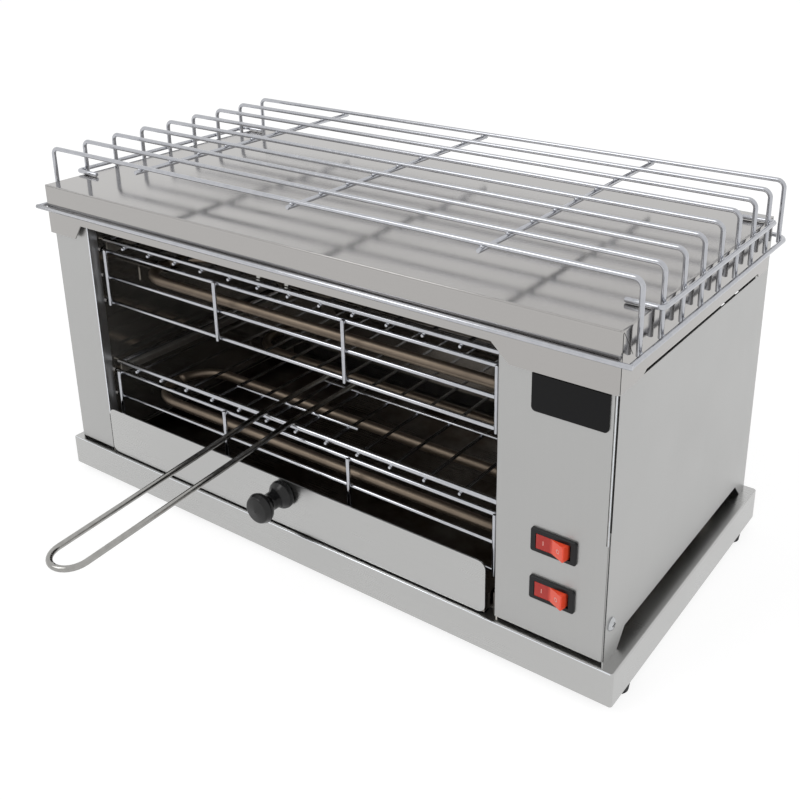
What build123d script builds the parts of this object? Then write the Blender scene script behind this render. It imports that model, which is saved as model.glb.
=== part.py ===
from build123d import *
import math
import os

os.makedirs("parts", exist_ok=True)

# Salamander toaster, millimetres.
# X runs to the right, Y to the back and Z up. The origin lies on the table,
# under the middle of the plinth. The front with the switches faces -Y.

# Overall sizes
plinth_width = 520.0
plinth_depth = 255.0
plinth_height = 25.0
cover_rise = 228.5
foot_height = 8.0
sheet = 1.0
bend_radius = 1.2

# Casing around the toasting space
casing_side_inset = 9.0
casing_front_inset = 4.0
casing_rear_inset = 5.0
pillar_width = 41.0
panel_width = 80.0
front_gap = 2.4
return_depth = 8.0
flange_width = 12.0
notch_height = 12.0
notch_front = 19.0
notch_rear = 9.5
rear_wall_gap = 22.5
ceiling_drop = 11.5

# Cover
cover_side_clear = 0.5
cover_front_clear = 3.0
cover_rear_inset = 7.0
skirt_height = 39.5
fascia_height = 27.5
side_skirt_height = 36.5
side_ear_front = 30.5
side_ear_rear = 18.5
side_slope_front = 5.0
side_slope_rear = 2.0
vent_height = 4.0
vent_lap = 1.0

# Wire sizes and levels
rack_wire = 3.4
guard_wire = 3.2
frame_rod = 4.0
grid_wire = 2.5
handle_rod = 4.2
weld_sink = 0.3
lower_grid_rise = 80.5
upper_grid_drop = 41.5
grid_pitch = 29.0
guard_pitch = 22.0
guard_drop = 9.5
guard_setback = 12.0
slide_clear = 0.3

# Heating elements
element_d = 8.0
hairpin_width = 60.0
element_drop = 28.5
element_setback = 23.0
hairpin_pitch = 120.0

# Fasteners
screw_d = 4.0
screw_hole = 4.2
head_d = 9.0
head_height = 2.2
head_round = 0.9

# Places worked out from the sizes above
half_width = plinth_width / 2
half_depth = plinth_depth / 2
plinth_top = foot_height + plinth_height
cover_top = plinth_top + cover_rise
casing_x = half_width - casing_side_inset
casing_front = -half_depth + casing_front_inset
casing_rear = half_depth - casing_rear_inset
casing_top = cover_top - sheet
opening_left = -casing_x + pillar_width
opening_right = casing_x - panel_width
cavity_left = opening_left - sheet
cavity_right = opening_right + sheet
cavity_rear = casing_rear - rear_wall_gap
ceiling_z = cover_top - ceiling_drop
face_bottom = plinth_top + front_gap
face_top = cover_top - 3.5
lower_grid_z = plinth_top + lower_grid_rise
upper_grid_z = cover_top - upper_grid_drop
guard_y = casing_front + guard_setback
element_y = casing_front + element_setback
cover_x = casing_x + cover_side_clear + sheet
cover_front = casing_front - cover_front_clear - sheet
cover_rear = casing_rear - cover_rear_inset


def block(x, y, z, mode=Mode.ADD):
    """Adds a box given by its limits along each axis."""
    with Locations(((x[0] + x[1]) / 2, (y[0] + y[1]) / 2, (z[0] + z[1]) / 2)):
        Box(x[1] - x[0], y[1] - y[0], z[1] - z[0], mode=mode)


def rod_x(x0, x1, y, z, d, mode=Mode.ADD):
    """Adds a round bar along X."""
    with Locations(((x0 + x1) / 2, y, z)):
        Cylinder(d / 2, x1 - x0, rotation=(0, 90, 0), mode=mode)


def rod_y(x, y0, y1, z, d, mode=Mode.ADD):
    """Adds a round bar along Y."""
    with Locations((x, (y0 + y1) / 2, z)):
        Cylinder(d / 2, y1 - y0, rotation=(90, 0, 0), mode=mode)


def rod_z(x, y, z0, z1, d, mode=Mode.ADD):
    """Adds an upright round bar."""
    with Locations((x, y, (z0 + z1) / 2)):
        Cylinder(d / 2, z1 - z0, mode=mode)


def bent_rod(points, bend, d):
    """Adds a round bar that runs through the points, with bends of one radius."""
    with BuildLine(mode=Mode.PRIVATE) as route:
        FilletPolyline(*points, radius=bend)
    path = route.line
    with BuildSketch(Plane(origin=path @ 0, z_dir=path % 0), mode=Mode.PRIVATE) as section:
        Circle(d / 2)
    sweep(sections=section.sketch, path=path)


def pan_head_y(x, y, z, toward, grip):
    """Adds a pan-head screw along Y, its head on the face at y, pointing toward +1 or -1."""
    head_far = y - toward * head_height
    rod_y(x, min(y, head_far), max(y, head_far), z, head_d)
    tip = y + toward * grip
    rod_y(x, min(y, tip), max(y, tip), z, screw_d)


# Plinth: a folded tray of sheet, upside down, with a flange turned in at the bottom.
foot_d = 16.0
foot_inset_x = 8.5
foot_inset_y = 28.0
plinth_flange = 19.0
plinth_corner = 2.0
base_screw_y = 70.0
base_screw_grip = 6.0
wall_flange = 12.0
base_screw_left = cavity_left - sheet - wall_flange / 2
base_screw_right = cavity_right + sheet + wall_flange / 2
foot_places = [
    (side * (half_width - foot_inset_x), end * (half_depth - foot_inset_y))
    for side in (-1, 1)
    for end in (-1, 1)
]
base_screw_places = [
    (x, y) for x in (base_screw_left, base_screw_right) for y in (-base_screw_y, base_screw_y)
]
with BuildPart() as plinth:
    block((-half_width, half_width), (-half_depth, half_depth), (foot_height, plinth_top))
    fillet(plinth.edges().filter_by(Axis.Z), plinth_corner)
    fillet(plinth.faces().sort_by(Axis.Z)[-1].edges(), bend_radius)
    inner_x = half_width - sheet
    inner_y = half_depth - sheet
    block(
        (-inner_x, inner_x),
        (-inner_y, inner_y),
        (foot_height + sheet, plinth_top - sheet),
        mode=Mode.SUBTRACT,
    )
    mouth_x = half_width - plinth_flange
    mouth_y = half_depth - plinth_flange
    block(
        (-mouth_x, mouth_x),
        (-mouth_y, mouth_y),
        (foot_height, foot_height + sheet),
        mode=Mode.SUBTRACT,
    )
    for x, y in foot_places:
        rod_z(x, y, foot_height, foot_height + sheet, screw_hole, mode=Mode.SUBTRACT)
    for x, y in base_screw_places:
        rod_z(x, y, plinth_top - sheet, plinth_top, screw_hole, mode=Mode.SUBTRACT)
plinth.part.label = "plinth"
export_step(plinth.part, "parts/plinth.step")

# Rubber feet: four tapered pads with a bore and a recess for the bolt head.
foot_tip_d = 14.0
foot_recess_d = 10.0
foot_recess = 4.0
with BuildPart() as feet:
    for x, y in foot_places:
        with Locations((x, y, foot_height / 2)):
            Cone(foot_tip_d / 2, foot_d / 2, foot_height)
        rod_z(x, y, 0, foot_height, screw_hole, mode=Mode.SUBTRACT)
        rod_z(x, y, 0, foot_recess, foot_recess_d, mode=Mode.SUBTRACT)
feet.part.label = "rubber_feet"
export_step(feet.part, "parts/rubber_feet.step")

# Bolts and nuts that hold the feet to the plinth's flange.
nut_width = 7.0
nut_height = 3.2
thread_clear = 0.1
bolt_tip = 1.0
with BuildPart() as foot_bolts:
    for x, y in foot_places:
        rod_z(x, y, foot_recess - head_height, foot_recess, head_d)
        rod_z(x, y, foot_recess, foot_height + sheet + nut_height + bolt_tip, screw_d)
foot_bolts.part.label = "foot_bolts"
export_step(foot_bolts.part, "parts/foot_bolts.step")

with BuildPart() as foot_nuts:
    nut_z = foot_height + sheet
    with BuildSketch(Plane.XY.offset(nut_z)):
        with Locations(*foot_places):
            RegularPolygon(nut_width / 2, 6, major_radius=False)
            Circle((screw_d + thread_clear) / 2, mode=Mode.SUBTRACT)
    extrude(amount=nut_height)
foot_nuts.part.label = "foot_nuts"
export_step(foot_nuts.part, "parts/foot_nuts.step")

# Screws up through the plinth into the bottom flanges of the two inner walls.
with BuildPart() as base_screws:
    for x, y in base_screw_places:
        rod_z(x, y, plinth_top - sheet - head_height, plinth_top - sheet, head_d)
        rod_z(x, y, plinth_top - sheet, plinth_top + sheet + base_screw_grip, screw_d)
base_screws.part.label = "base_screws"
export_step(base_screws.part, "parts/base_screws.step")

# Guard rods end in holes in the inner walls, so their heights are set first.
guard_top_low = lower_grid_z - guard_drop
guard_top_high = upper_grid_z - guard_drop
guard_heights_low = [guard_top_low - guard_pitch * i for i in range(3)]
guard_heights_high = [guard_top_high - guard_pitch * i for i in range(3)]
guard_hole = guard_wire + 0.4

# Heating element legs pass through the right inner wall.
element_low_z = lower_grid_z - element_drop
element_high_z = upper_grid_z - element_drop
leg_places = [
    element_y + hairpin_pitch * pair + hairpin_width * leg for pair in (0, 1) for leg in (0, 1)
]
fitting_d = element_d + 2.0
fitting_hole = fitting_d + 0.4

# Left inner wall of the toasting space: bright sheet with a flange on the plinth.
wall_front = casing_front + sheet
wall_flange_setback = 20.0
wall_rear = cavity_rear + sheet
with BuildPart() as left_wall:
    wall_out = cavity_left - sheet
    block((wall_out, cavity_left), (wall_front, wall_rear), (plinth_top, ceiling_z))
    block(
        (wall_out - wall_flange, wall_out),
        (wall_front + wall_flange_setback, wall_rear),
        (plinth_top, plinth_top + sheet),
    )
    for z in guard_heights_low + guard_heights_high:
        rod_x(wall_out, cavity_left, guard_y, z, guard_hole, mode=Mode.SUBTRACT)
    for y in (-base_screw_y, base_screw_y):
        rod_z(
            base_screw_left, y, plinth_top, plinth_top + sheet, screw_hole, mode=Mode.SUBTRACT
        )
left_wall.part.label = "left_inner_wall"
export_step(left_wall.part, "parts/left_inner_wall.step")

# Right inner wall: parts the toasting space from the switch compartment.
with BuildPart() as right_wall:
    wall_out = cavity_right + sheet
    block((cavity_right, wall_out), (wall_front, wall_rear), (plinth_top, ceiling_z))
    block(
        (wall_out, wall_out + wall_flange),
        (wall_front + wall_flange_setback, wall_rear),
        (plinth_top, plinth_top + sheet),
    )
    for z in guard_heights_low + guard_heights_high:
        rod_x(cavity_right, wall_out, guard_y, z, guard_hole, mode=Mode.SUBTRACT)
    for z in (element_low_z, element_high_z):
        for y in leg_places:
            rod_x(cavity_right, wall_out, y, z, fitting_hole, mode=Mode.SUBTRACT)
    for y in (-base_screw_y, base_screw_y):
        rod_z(
            base_screw_right, y, plinth_top, plinth_top + sheet, screw_hole, mode=Mode.SUBTRACT
        )
right_wall.part.label = "right_inner_wall"
export_step(right_wall.part, "parts/right_inner_wall.step")

# Rear reflector of the toasting space, with a flange on the plinth.
with BuildPart() as rear_wall:
    block((cavity_left, cavity_right), (cavity_rear, wall_rear), (plinth_top, ceiling_z))
    block(
        (cavity_left, cavity_right),
        (wall_rear, wall_rear + wall_flange),
        (plinth_top, plinth_top + sheet),
    )
rear_wall.part.label = "rear_reflector"
export_step(rear_wall.part, "parts/rear_reflector.step")

# Ceiling reflector: rests on the three walls, with a lip behind the cover's front.
ceiling_lip = 10.0
ceiling_front = casing_front + return_depth
with BuildPart() as ceiling:
    block(
        (cavity_left - sheet, cavity_right + sheet),
        (ceiling_front, wall_rear),
        (ceiling_z, ceiling_z + sheet),
    )
    block(
        (cavity_left + sheet, cavity_right - sheet),
        (ceiling_front, ceiling_front + sheet),
        (ceiling_z - ceiling_lip, ceiling_z),
    )
ceiling.part.label = "ceiling_reflector"
export_step(ceiling.part, "parts/ceiling_reflector.step")

# Side panels: one folded sheet each, standing on the plinth at the front and the back.
side_screw_y = casing_front + 8.0
side_screw_z = plinth_top + 27.0
panel_screw_grip = 8.0
rear_screw_low = 27.0
rear_screw_drop = 26.5
rear_screw_high = cover_rise - rear_screw_drop
rear_screw_rises = (rear_screw_low, (rear_screw_low + rear_screw_high) / 2, rear_screw_high)
rear_flange = 15.0
rear_screw_x = casing_x - sheet - rear_flange / 2
notch_slope_front = 10.0
notch_slope_rear = 11.0
tab_depth = 18.0
tab_setback = 5.0
top_flange_setback = 4.0


def side_panel(side):
    """Adds the outer sheet with its notch, flanges, bottom tab and vent slot."""
    rear_edge = casing_rear - sheet
    notch_top = plinth_top + notch_height
    notch_y0 = casing_front + notch_front
    notch_y1 = rear_edge - notch_rear
    with BuildSketch(Plane.YZ.offset(side * casing_x), mode=Mode.PRIVATE) as skin:
        with BuildLine():
            Polyline(
                (casing_front, plinth_top),
                (notch_y0, plinth_top),
                (notch_y0 + notch_slope_front, notch_top),
                (notch_y1 - notch_slope_rear, notch_top),
                (notch_y1, plinth_top),
                (rear_edge, plinth_top),
                (rear_edge, casing_top),
                (casing_front, casing_top),
                close=True,
            )
        make_face()
    extrude(to_extrude=skin.sketch, amount=-side * sheet)
    skin_in = side * (casing_x - sheet)
    flange_x = sorted((skin_in, skin_in - side * flange_width))
    rear_x = sorted((skin_in, skin_in - side * rear_flange))
    flange_start = casing_front + top_flange_setback
    block(flange_x, (flange_start, rear_edge), (casing_top - sheet, casing_top))
    block(rear_x, (rear_edge - sheet, rear_edge), (plinth_top, casing_top - sheet))
    tab_y = (casing_front + tab_setback, casing_front + tab_depth)
    block(flange_x, tab_y, (plinth_top, plinth_top + sheet))
    vent_top = cover_top - side_skirt_height + vent_lap
    vent_y0 = cover_front + side_ear_front + side_slope_front
    vent_y1 = cover_rear - side_ear_rear - side_slope_rear
    vent_x = sorted((side * casing_x, skin_in))
    vent_z = (vent_top - vent_lap - vent_height, vent_top)
    block(vent_x, (vent_y0, vent_y1), vent_z, mode=Mode.SUBTRACT)
    for rise in rear_screw_rises:
        rod_y(
            side * rear_screw_x,
            rear_edge - sheet,
            rear_edge,
            plinth_top + rise,
            screw_hole,
            mode=Mode.SUBTRACT,
        )


with BuildPart() as left_panel:
    side_panel(-1)
    block((-casing_x, opening_left), (casing_front, casing_front + sheet), (face_bottom, face_top))
    block(
        (opening_left - sheet, opening_left),
        (casing_front, casing_front + return_depth),
        (face_bottom, face_top),
    )
left_panel.part.label = "left_side_panel"
export_step(left_panel.part, "parts/left_side_panel.step")

with BuildPart() as right_panel:
    side_panel(1)
    rod_x(
        casing_x - sheet, casing_x, side_screw_y, side_screw_z, screw_hole, mode=Mode.SUBTRACT
    )
right_panel.part.label = "right_side_panel"
export_step(right_panel.part, "parts/right_side_panel.step")

# Rocker switches: one above the other, each in a cut-out of the control panel.
switch_x = casing_x - 37.2
upper_switch_z = plinth_top + 73.8
lower_switch_z = plinth_top + 38.5
bezel_width = 32.0
bezel_height = 16.6
bezel_thick = 2.0
housing_width = 28.2
housing_height = 12.6
housing_depth = 20.0
cutout_clear = 0.2

# Control panel: the front of the switch compartment, folded back on both sides.
panel_return = 22.0
with BuildPart() as control_panel:
    panel_right = casing_x - sheet
    block(
        (opening_right, panel_right), (casing_front, casing_front + sheet), (face_bottom, face_top)
    )
    block(
        (opening_right, opening_right + sheet),
        (casing_front, casing_front + return_depth),
        (face_bottom, face_top),
    )
    block(
        (panel_right - sheet, panel_right),
        (casing_front, casing_front + panel_return),
        (face_bottom, face_top),
    )
    fillet(control_panel.edges().filter_by(Axis.Z).group_by(Axis.Y)[0], bend_radius)
    half_cut_x = housing_width / 2 + cutout_clear
    half_cut_z = housing_height / 2 + cutout_clear
    for z in (upper_switch_z, lower_switch_z):
        block(
            (switch_x - half_cut_x, switch_x + half_cut_x),
            (casing_front, casing_front + sheet),
            (z - half_cut_z, z + half_cut_z),
            mode=Mode.SUBTRACT,
        )
    rod_x(
        panel_right - sheet, panel_right, side_screw_y, side_screw_z, screw_hole, mode=Mode.SUBTRACT
    )
control_panel.part.label = "control_panel"
export_step(control_panel.part, "parts/control_panel.step")

# Rear panel: closes the casing, with louvre slots and the hole for the supply lead.
gland_x = casing_x - 39.0
gland_z = plinth_top + 27.0
gland_d = 12.0
top_flange_lap = 8.0
slot_length = 50.0
slot_height = 3.0
slot_pitch = 12.0
slot_count = 5
slot_xs = (-140.0, -20.0, 100.0, casing_x - 44.0)
slot_drop = 78.5
slot_rise = cover_rise - slot_drop
with BuildPart() as rear_panel:
    rear_in = casing_rear - sheet
    block((-casing_x, casing_x), (rear_in, casing_rear), (plinth_top, casing_top))
    top_flange_x = casing_x - sheet - flange_width
    top_flange_y = (cover_rear - top_flange_lap, rear_in)
    block((-top_flange_x, top_flange_x), top_flange_y, (casing_top - sheet, casing_top))
    for side in (-1, 1):
        for rise in rear_screw_rises:
            rod_y(
                side * rear_screw_x,
                rear_in,
                casing_rear,
                plinth_top + rise,
                screw_hole,
                mode=Mode.SUBTRACT,
            )
    rod_y(gland_x, rear_in, casing_rear, gland_z, gland_d + 0.4, mode=Mode.SUBTRACT)
    for x in slot_xs:
        for i in range(slot_count):
            z = plinth_top + slot_rise + slot_pitch * i
            block(
                (x - slot_length / 2, x + slot_length / 2),
                (rear_in, casing_rear),
                (z, z + slot_height),
                mode=Mode.SUBTRACT,
            )
rear_panel.part.label = "rear_panel"
export_step(rear_panel.part, "parts/rear_panel.step")

# Cover: a shallow folded lid whose skirt hangs lower at the corners.
ear_left = 31.5
ear_right = 71.5
ear_slope_left = 8.3
ear_slope_right = 13.0
cover_corner = 1.6
skirt_bottom = cover_top - skirt_height
fascia_bottom = cover_top - fascia_height
side_bottom = cover_top - side_skirt_height
with BuildPart() as cover:
    block((-cover_x, cover_x), (cover_front, cover_rear), (skirt_bottom, cover_top))
    fillet(cover.edges().filter_by(Axis.Z).group_by(Axis.Y)[0], cover_corner)
    fillet(cover.faces().sort_by(Axis.Z)[-1].edges().sort_by(Axis.Y)[:-1], bend_radius)
    block(
        (-cover_x + sheet, cover_x - sheet),
        (cover_front + sheet, cover_rear),
        (skirt_bottom, casing_top),
        mode=Mode.SUBTRACT,
    )
    with BuildSketch(Plane.XZ.offset(-cover_front)):
        with BuildLine():
            Polyline(
                (-cover_x + ear_left, skirt_bottom),
                (-cover_x + ear_left + ear_slope_left, fascia_bottom),
                (cover_x - ear_right - ear_slope_right, fascia_bottom),
                (cover_x - ear_right, skirt_bottom),
                close=True,
            )
        make_face()
    extrude(amount=-sheet, mode=Mode.SUBTRACT)
    with BuildSketch(Plane.YZ.offset(-cover_x)):
        with BuildLine():
            Polyline(
                (cover_front + side_ear_front, skirt_bottom),
                (cover_front + side_ear_front + side_slope_front, side_bottom),
                (cover_rear - side_ear_rear - side_slope_rear, side_bottom),
                (cover_rear - side_ear_rear, skirt_bottom),
                close=True,
            )
        make_face()
    extrude(amount=2 * cover_x, mode=Mode.SUBTRACT)
cover.part.label = "top_cover"
export_step(cover.part, "parts/top_cover.step")

# Name plate: plain black plate on the control panel, just under the cover's ear.
plate_width = 51.0
plate_height = 24.8
plate_thick = 1.2
plate_corner = 3.0
plate_edge_round = 0.4
plate_inset = 30.5
plate_gap = 2.2
plate_x = casing_x - plate_inset
plate_z = skirt_bottom - plate_gap - plate_height / 2
with BuildPart() as name_plate:
    block(
        (plate_x - plate_width / 2, plate_x + plate_width / 2),
        (casing_front - plate_thick, casing_front),
        (plate_z - plate_height / 2, plate_z + plate_height / 2),
    )
    fillet(name_plate.edges().filter_by(Axis.Y).group_by(Axis.Z)[0], plate_corner)
    fillet(name_plate.faces().sort_by(Axis.Y)[0].edges(), plate_edge_round)
name_plate.part.label = "name_plate"
export_step(name_plate.part, "parts/name_plate.step")

# Pan-head screws: one in the right side panel and six in the rear panel.
with BuildPart() as panel_screws:
    rod_x(casing_x, casing_x + head_height, side_screw_y, side_screw_z, head_d)
    rod_x(casing_x - panel_screw_grip, casing_x, side_screw_y, side_screw_z, screw_d)
    for side in (-1, 1):
        for rise in rear_screw_rises:
            pan_head_y(
                side * rear_screw_x, casing_rear, plinth_top + rise, -1, panel_screw_grip
            )
    rims = panel_screws.edges().filter_by(GeomType.CIRCLE)
    rims = rims.filter_by(
        lambda e: e.center().X > casing_x + 1 or e.center().Y > casing_rear + 1
    )
    fillet(rims, head_round)
panel_screws.part.label = "panel_screws"
export_step(panel_screws.part, "parts/panel_screws.step")

# Switch bodies: black bezel and housing in one, with a well for the rocker.
well_width = 24.6
well_height = 10.9
well_depth = 10.0
pivot_depth = 3.4
pivot_d = 2.4
pivot_hole = 2.5
bezel_round = 0.8
bezel_corner = 1.6
bezel_front = casing_front - bezel_thick
pivot_y = bezel_front + pivot_depth


def switch_body(z):
    """Adds one switch body with its front bezel on the control panel."""
    with BuildSketch(Plane.XZ.offset(-casing_front), mode=Mode.PRIVATE) as bezel:
        with Locations((switch_x, z)):
            RectangleRounded(bezel_width, bezel_height, bezel_corner)
    extrude(to_extrude=bezel.sketch, amount=bezel_thick)
    block(
        (switch_x - housing_width / 2, switch_x + housing_width / 2),
        (casing_front, casing_front + housing_depth),
        (z - housing_height / 2, z + housing_height / 2),
    )
    block(
        (switch_x - well_width / 2, switch_x + well_width / 2),
        (bezel_front, bezel_front + well_depth),
        (z - well_height / 2, z + well_height / 2),
        mode=Mode.SUBTRACT,
    )
    rod_z(
        switch_x,
        pivot_y,
        z - housing_height / 2,
        z + housing_height / 2,
        pivot_hole,
        mode=Mode.SUBTRACT,
    )


with BuildPart() as upper_switch:
    switch_body(upper_switch_z)
    fillet(upper_switch.faces().sort_by(Axis.Y)[0].outer_wire().edges(), bezel_round)
upper_switch.part.label = "upper_switch_body"
export_step(upper_switch.part, "parts/upper_switch_body.step")

with BuildPart() as lower_switch:
    switch_body(lower_switch_z)
    fillet(lower_switch.faces().sort_by(Axis.Y)[0].outer_wire().edges(), bezel_round)
lower_switch.part.label = "lower_switch_body"
export_step(lower_switch.part, "parts/lower_switch_body.step")

# Rockers: shallow V in plan, on two stub pivots, resting with the right half out.
rocker_half = 10.8
rocker_height = 10.4
rocker_tilt = 12.0
rocker_end = 5.8
rocker_mid = 3.4
rocker_side = -1.0
rocker_keel = -4.5
rocker_keel_half = 4.0
rocker_round = 0.7
pivot_stub = 0.9
rocker_profile = [
    (-rocker_half, -rocker_end),
    (-rocker_half, -rocker_side),
    (-rocker_keel_half, -rocker_keel),
    (rocker_keel_half, -rocker_keel),
    (rocker_half, -rocker_side),
    (rocker_half, -rocker_end),
    (0, -rocker_mid),
]


def rocker(z):
    """Adds one rocker, turned to its off position, with its two pivots."""
    with BuildSketch(Plane.XY.offset(z - rocker_height / 2), mode=Mode.PRIVATE) as profile:
        with Locations((switch_x, pivot_y)):
            Polygon(*rocker_profile, rotation=-rocker_tilt, align=None)
    extrude(to_extrude=profile.sketch, amount=rocker_height)
    pivot_reach = rocker_height / 2 + pivot_stub
    rod_z(switch_x, pivot_y, z - pivot_reach, z + pivot_reach, pivot_d)


with BuildPart() as upper_rocker:
    rocker(upper_switch_z)
    fillet(upper_rocker.edges().filter_by(Axis.Z).group_by(Axis.Y)[0], rocker_round)
upper_rocker.part.label = "upper_rocker"
export_step(upper_rocker.part, "parts/upper_rocker.step")

with BuildPart() as lower_rocker:
    rocker(lower_switch_z)
    fillet(lower_rocker.edges().filter_by(Axis.Z).group_by(Axis.Y)[0], rocker_round)
lower_rocker.part.label = "lower_rocker"
export_step(lower_rocker.part, "parts/lower_rocker.step")

# Blade terminals on the backs of the switches, two on each.
tab_width = 4.8
tab_thick = 0.8
tab_length = 8.0
tab_offset = 7.0
housing_back = casing_front + housing_depth
tab_back = housing_back + tab_length
with BuildPart() as switch_tabs:
    for z in (upper_switch_z, lower_switch_z):
        for x in (switch_x - tab_offset, switch_x + tab_offset):
            block(
                (x - tab_thick / 2, x + tab_thick / 2),
                (housing_back, tab_back),
                (z - tab_width / 2, z + tab_width / 2),
            )
switch_tabs.part.label = "switch_terminals"
export_step(switch_tabs.part, "parts/switch_terminals.step")

# Runners: an angle on each side wall at both levels, on which the grids slide.
runner_width = 13.0
runner_height = 12.0
runner_start = guard_y + 5.0


def runners(grid_z):
    """Adds the left and right angle of one level."""
    top = grid_z - frame_rod / 2 - slide_clear
    block(
        (cavity_left, cavity_left + runner_width), (runner_start, cavity_rear), (top - sheet, top)
    )
    block(
        (cavity_left, cavity_left + sheet), (runner_start, cavity_rear), (top - runner_height, top)
    )
    block(
        (cavity_right - runner_width, cavity_right),
        (runner_start, cavity_rear),
        (top - sheet, top),
    )
    block(
        (cavity_right - sheet, cavity_right), (runner_start, cavity_rear), (top - runner_height, top)
    )


with BuildPart() as lower_runners:
    runners(lower_grid_z)
lower_runners.part.label = "lower_runners"
export_step(lower_runners.part, "parts/lower_runners.step")

with BuildPart() as upper_runners:
    runners(upper_grid_z)
upper_runners.part.label = "upper_runners"
export_step(upper_runners.part, "parts/upper_runners.step")

# Guards: three welded rods with four ties in front of each pair of hairpins.
guard_reach = 6.0
guard_end_gap = 7.0
tie_pitch = (cavity_right - cavity_left - 2 * guard_end_gap) / 3


def guard(heights):
    """Adds one wire guard; its rods end in the holes of the inner walls."""
    tie_y = guard_y - guard_wire + weld_sink
    for z in heights:
        rod_x(
            cavity_left - sheet - guard_reach,
            cavity_right + sheet + guard_reach,
            guard_y,
            z,
            guard_wire,
        )
    for i in range(4):
        x = cavity_left + guard_end_gap + tie_pitch * i
        rod_z(x, tie_y, heights[-1] - guard_wire / 2, heights[0] + guard_wire / 2, guard_wire)


with BuildPart() as lower_guard:
    guard(guard_heights_low)
lower_guard.part.label = "lower_guard"
export_step(lower_guard.part, "parts/lower_guard.step")

with BuildPart() as upper_guard:
    guard(guard_heights_high)
upper_guard.part.label = "upper_guard"
export_step(upper_guard.part, "parts/upper_guard.step")

# Heating elements: two sheathed hairpins at each level, bent round at the left.
element_left_gap = 23.0
element_tail = 20.0
bend_centre_x = cavity_left + element_left_gap + element_d / 2 + hairpin_width / 2
element_end = cavity_right + sheet + element_tail


def hairpins(z):
    """Adds the two hairpins of one level."""
    for pair in (0, 1):
        y0 = element_y + hairpin_pitch * pair
        y1 = y0 + hairpin_width
        with BuildLine(mode=Mode.PRIVATE) as route:
            Line((element_end, y0, z), (bend_centre_x, y0, z))
            ThreePointArc(
                (bend_centre_x, y0, z),
                (bend_centre_x - hairpin_width / 2, (y0 + y1) / 2, z),
                (bend_centre_x, y1, z),
            )
            Line((bend_centre_x, y1, z), (element_end, y1, z))
        path = route.line
        with BuildSketch(Plane(origin=path @ 0, z_dir=path % 0), mode=Mode.PRIVATE) as section:
            Circle(element_d / 2)
        sweep(sections=section.sketch, path=path)


with BuildPart() as lower_elements:
    hairpins(element_low_z)
lower_elements.part.label = "lower_heating_elements"
export_step(lower_elements.part, "parts/lower_heating_elements.step")

with BuildPart() as upper_elements:
    hairpins(element_high_z)
upper_elements.part.label = "upper_heating_elements"
export_step(upper_elements.part, "parts/upper_heating_elements.step")

# Fittings: a steel sleeve and collar round each leg where it passes the right wall.
leg_points = [(y, z) for z in (element_low_z, element_high_z) for y in leg_places]
collar_d = fitting_d + 4.0
collar_thick = 3.0
sleeve_length = 8.0
wall_outer_x = cavity_right + sheet
bore_clear = 0.1
with BuildPart() as fittings:
    for y, z in leg_points:
        rod_x(cavity_right - collar_thick, cavity_right, y, z, collar_d)
        rod_x(cavity_right, wall_outer_x + sleeve_length, y, z, fitting_d)
        rod_x(
            cavity_right - collar_thick,
            wall_outer_x + sleeve_length,
            y,
            z,
            element_d + bore_clear,
            mode=Mode.SUBTRACT,
        )
fittings.part.label = "element_fittings"
export_step(fittings.part, "parts/element_fittings.step")

# Hexagon nuts that clamp the fittings from the compartment side.
fitting_nut_width = collar_d + 1.0
fitting_nut_height = 5.0
with BuildPart() as fitting_nuts:
    with BuildSketch(Plane.YZ.offset(wall_outer_x)):
        with Locations(*leg_points):
            RegularPolygon(fitting_nut_width / 2, 6, major_radius=False)
            Circle((fitting_d + thread_clear) / 2, mode=Mode.SUBTRACT)
    extrude(amount=fitting_nut_height)
fitting_nuts.part.label = "element_nuts"
export_step(fitting_nuts.part, "parts/element_nuts.step")

# Ceramic end beads and the terminal studs that come out of them.
bead_d = element_d + 1.0
bead_length = 6.0
stud_d = 3.0
stud_length = 18.0
with BuildPart() as beads:
    for y, z in leg_points:
        rod_x(element_end, element_end + bead_length, y, z, bead_d)
        rod_x(
            element_end, element_end + bead_length, y, z, stud_d + bore_clear, mode=Mode.SUBTRACT
        )
beads.part.label = "ceramic_beads"
export_step(beads.part, "parts/ceramic_beads.step")

with BuildPart() as studs:
    for y, z in leg_points:
        rod_x(element_end, element_end + stud_length, y, z, stud_d)
studs.part.label = "element_studs"
export_step(studs.part, "parts/element_studs.step")

# Brackets on the left wall that carry the bent end of each hairpin.
bracket_width = 14.0
bracket_reach = 34.0
bracket_height = 14.0
with BuildPart() as brackets:
    for z in (element_low_z, element_high_z):
        for pair in (0, 1):
            y = element_y + hairpin_pitch * pair + hairpin_width / 2
            top = z - element_d / 2
            y_limits = (y - bracket_width / 2, y + bracket_width / 2)
            block((cavity_left, cavity_left + bracket_reach), y_limits, (top - sheet, top))
            block((cavity_left, cavity_left + sheet), y_limits, (top - bracket_height, top))
brackets.part.label = "element_brackets"
export_step(brackets.part, "parts/element_brackets.step")

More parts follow.
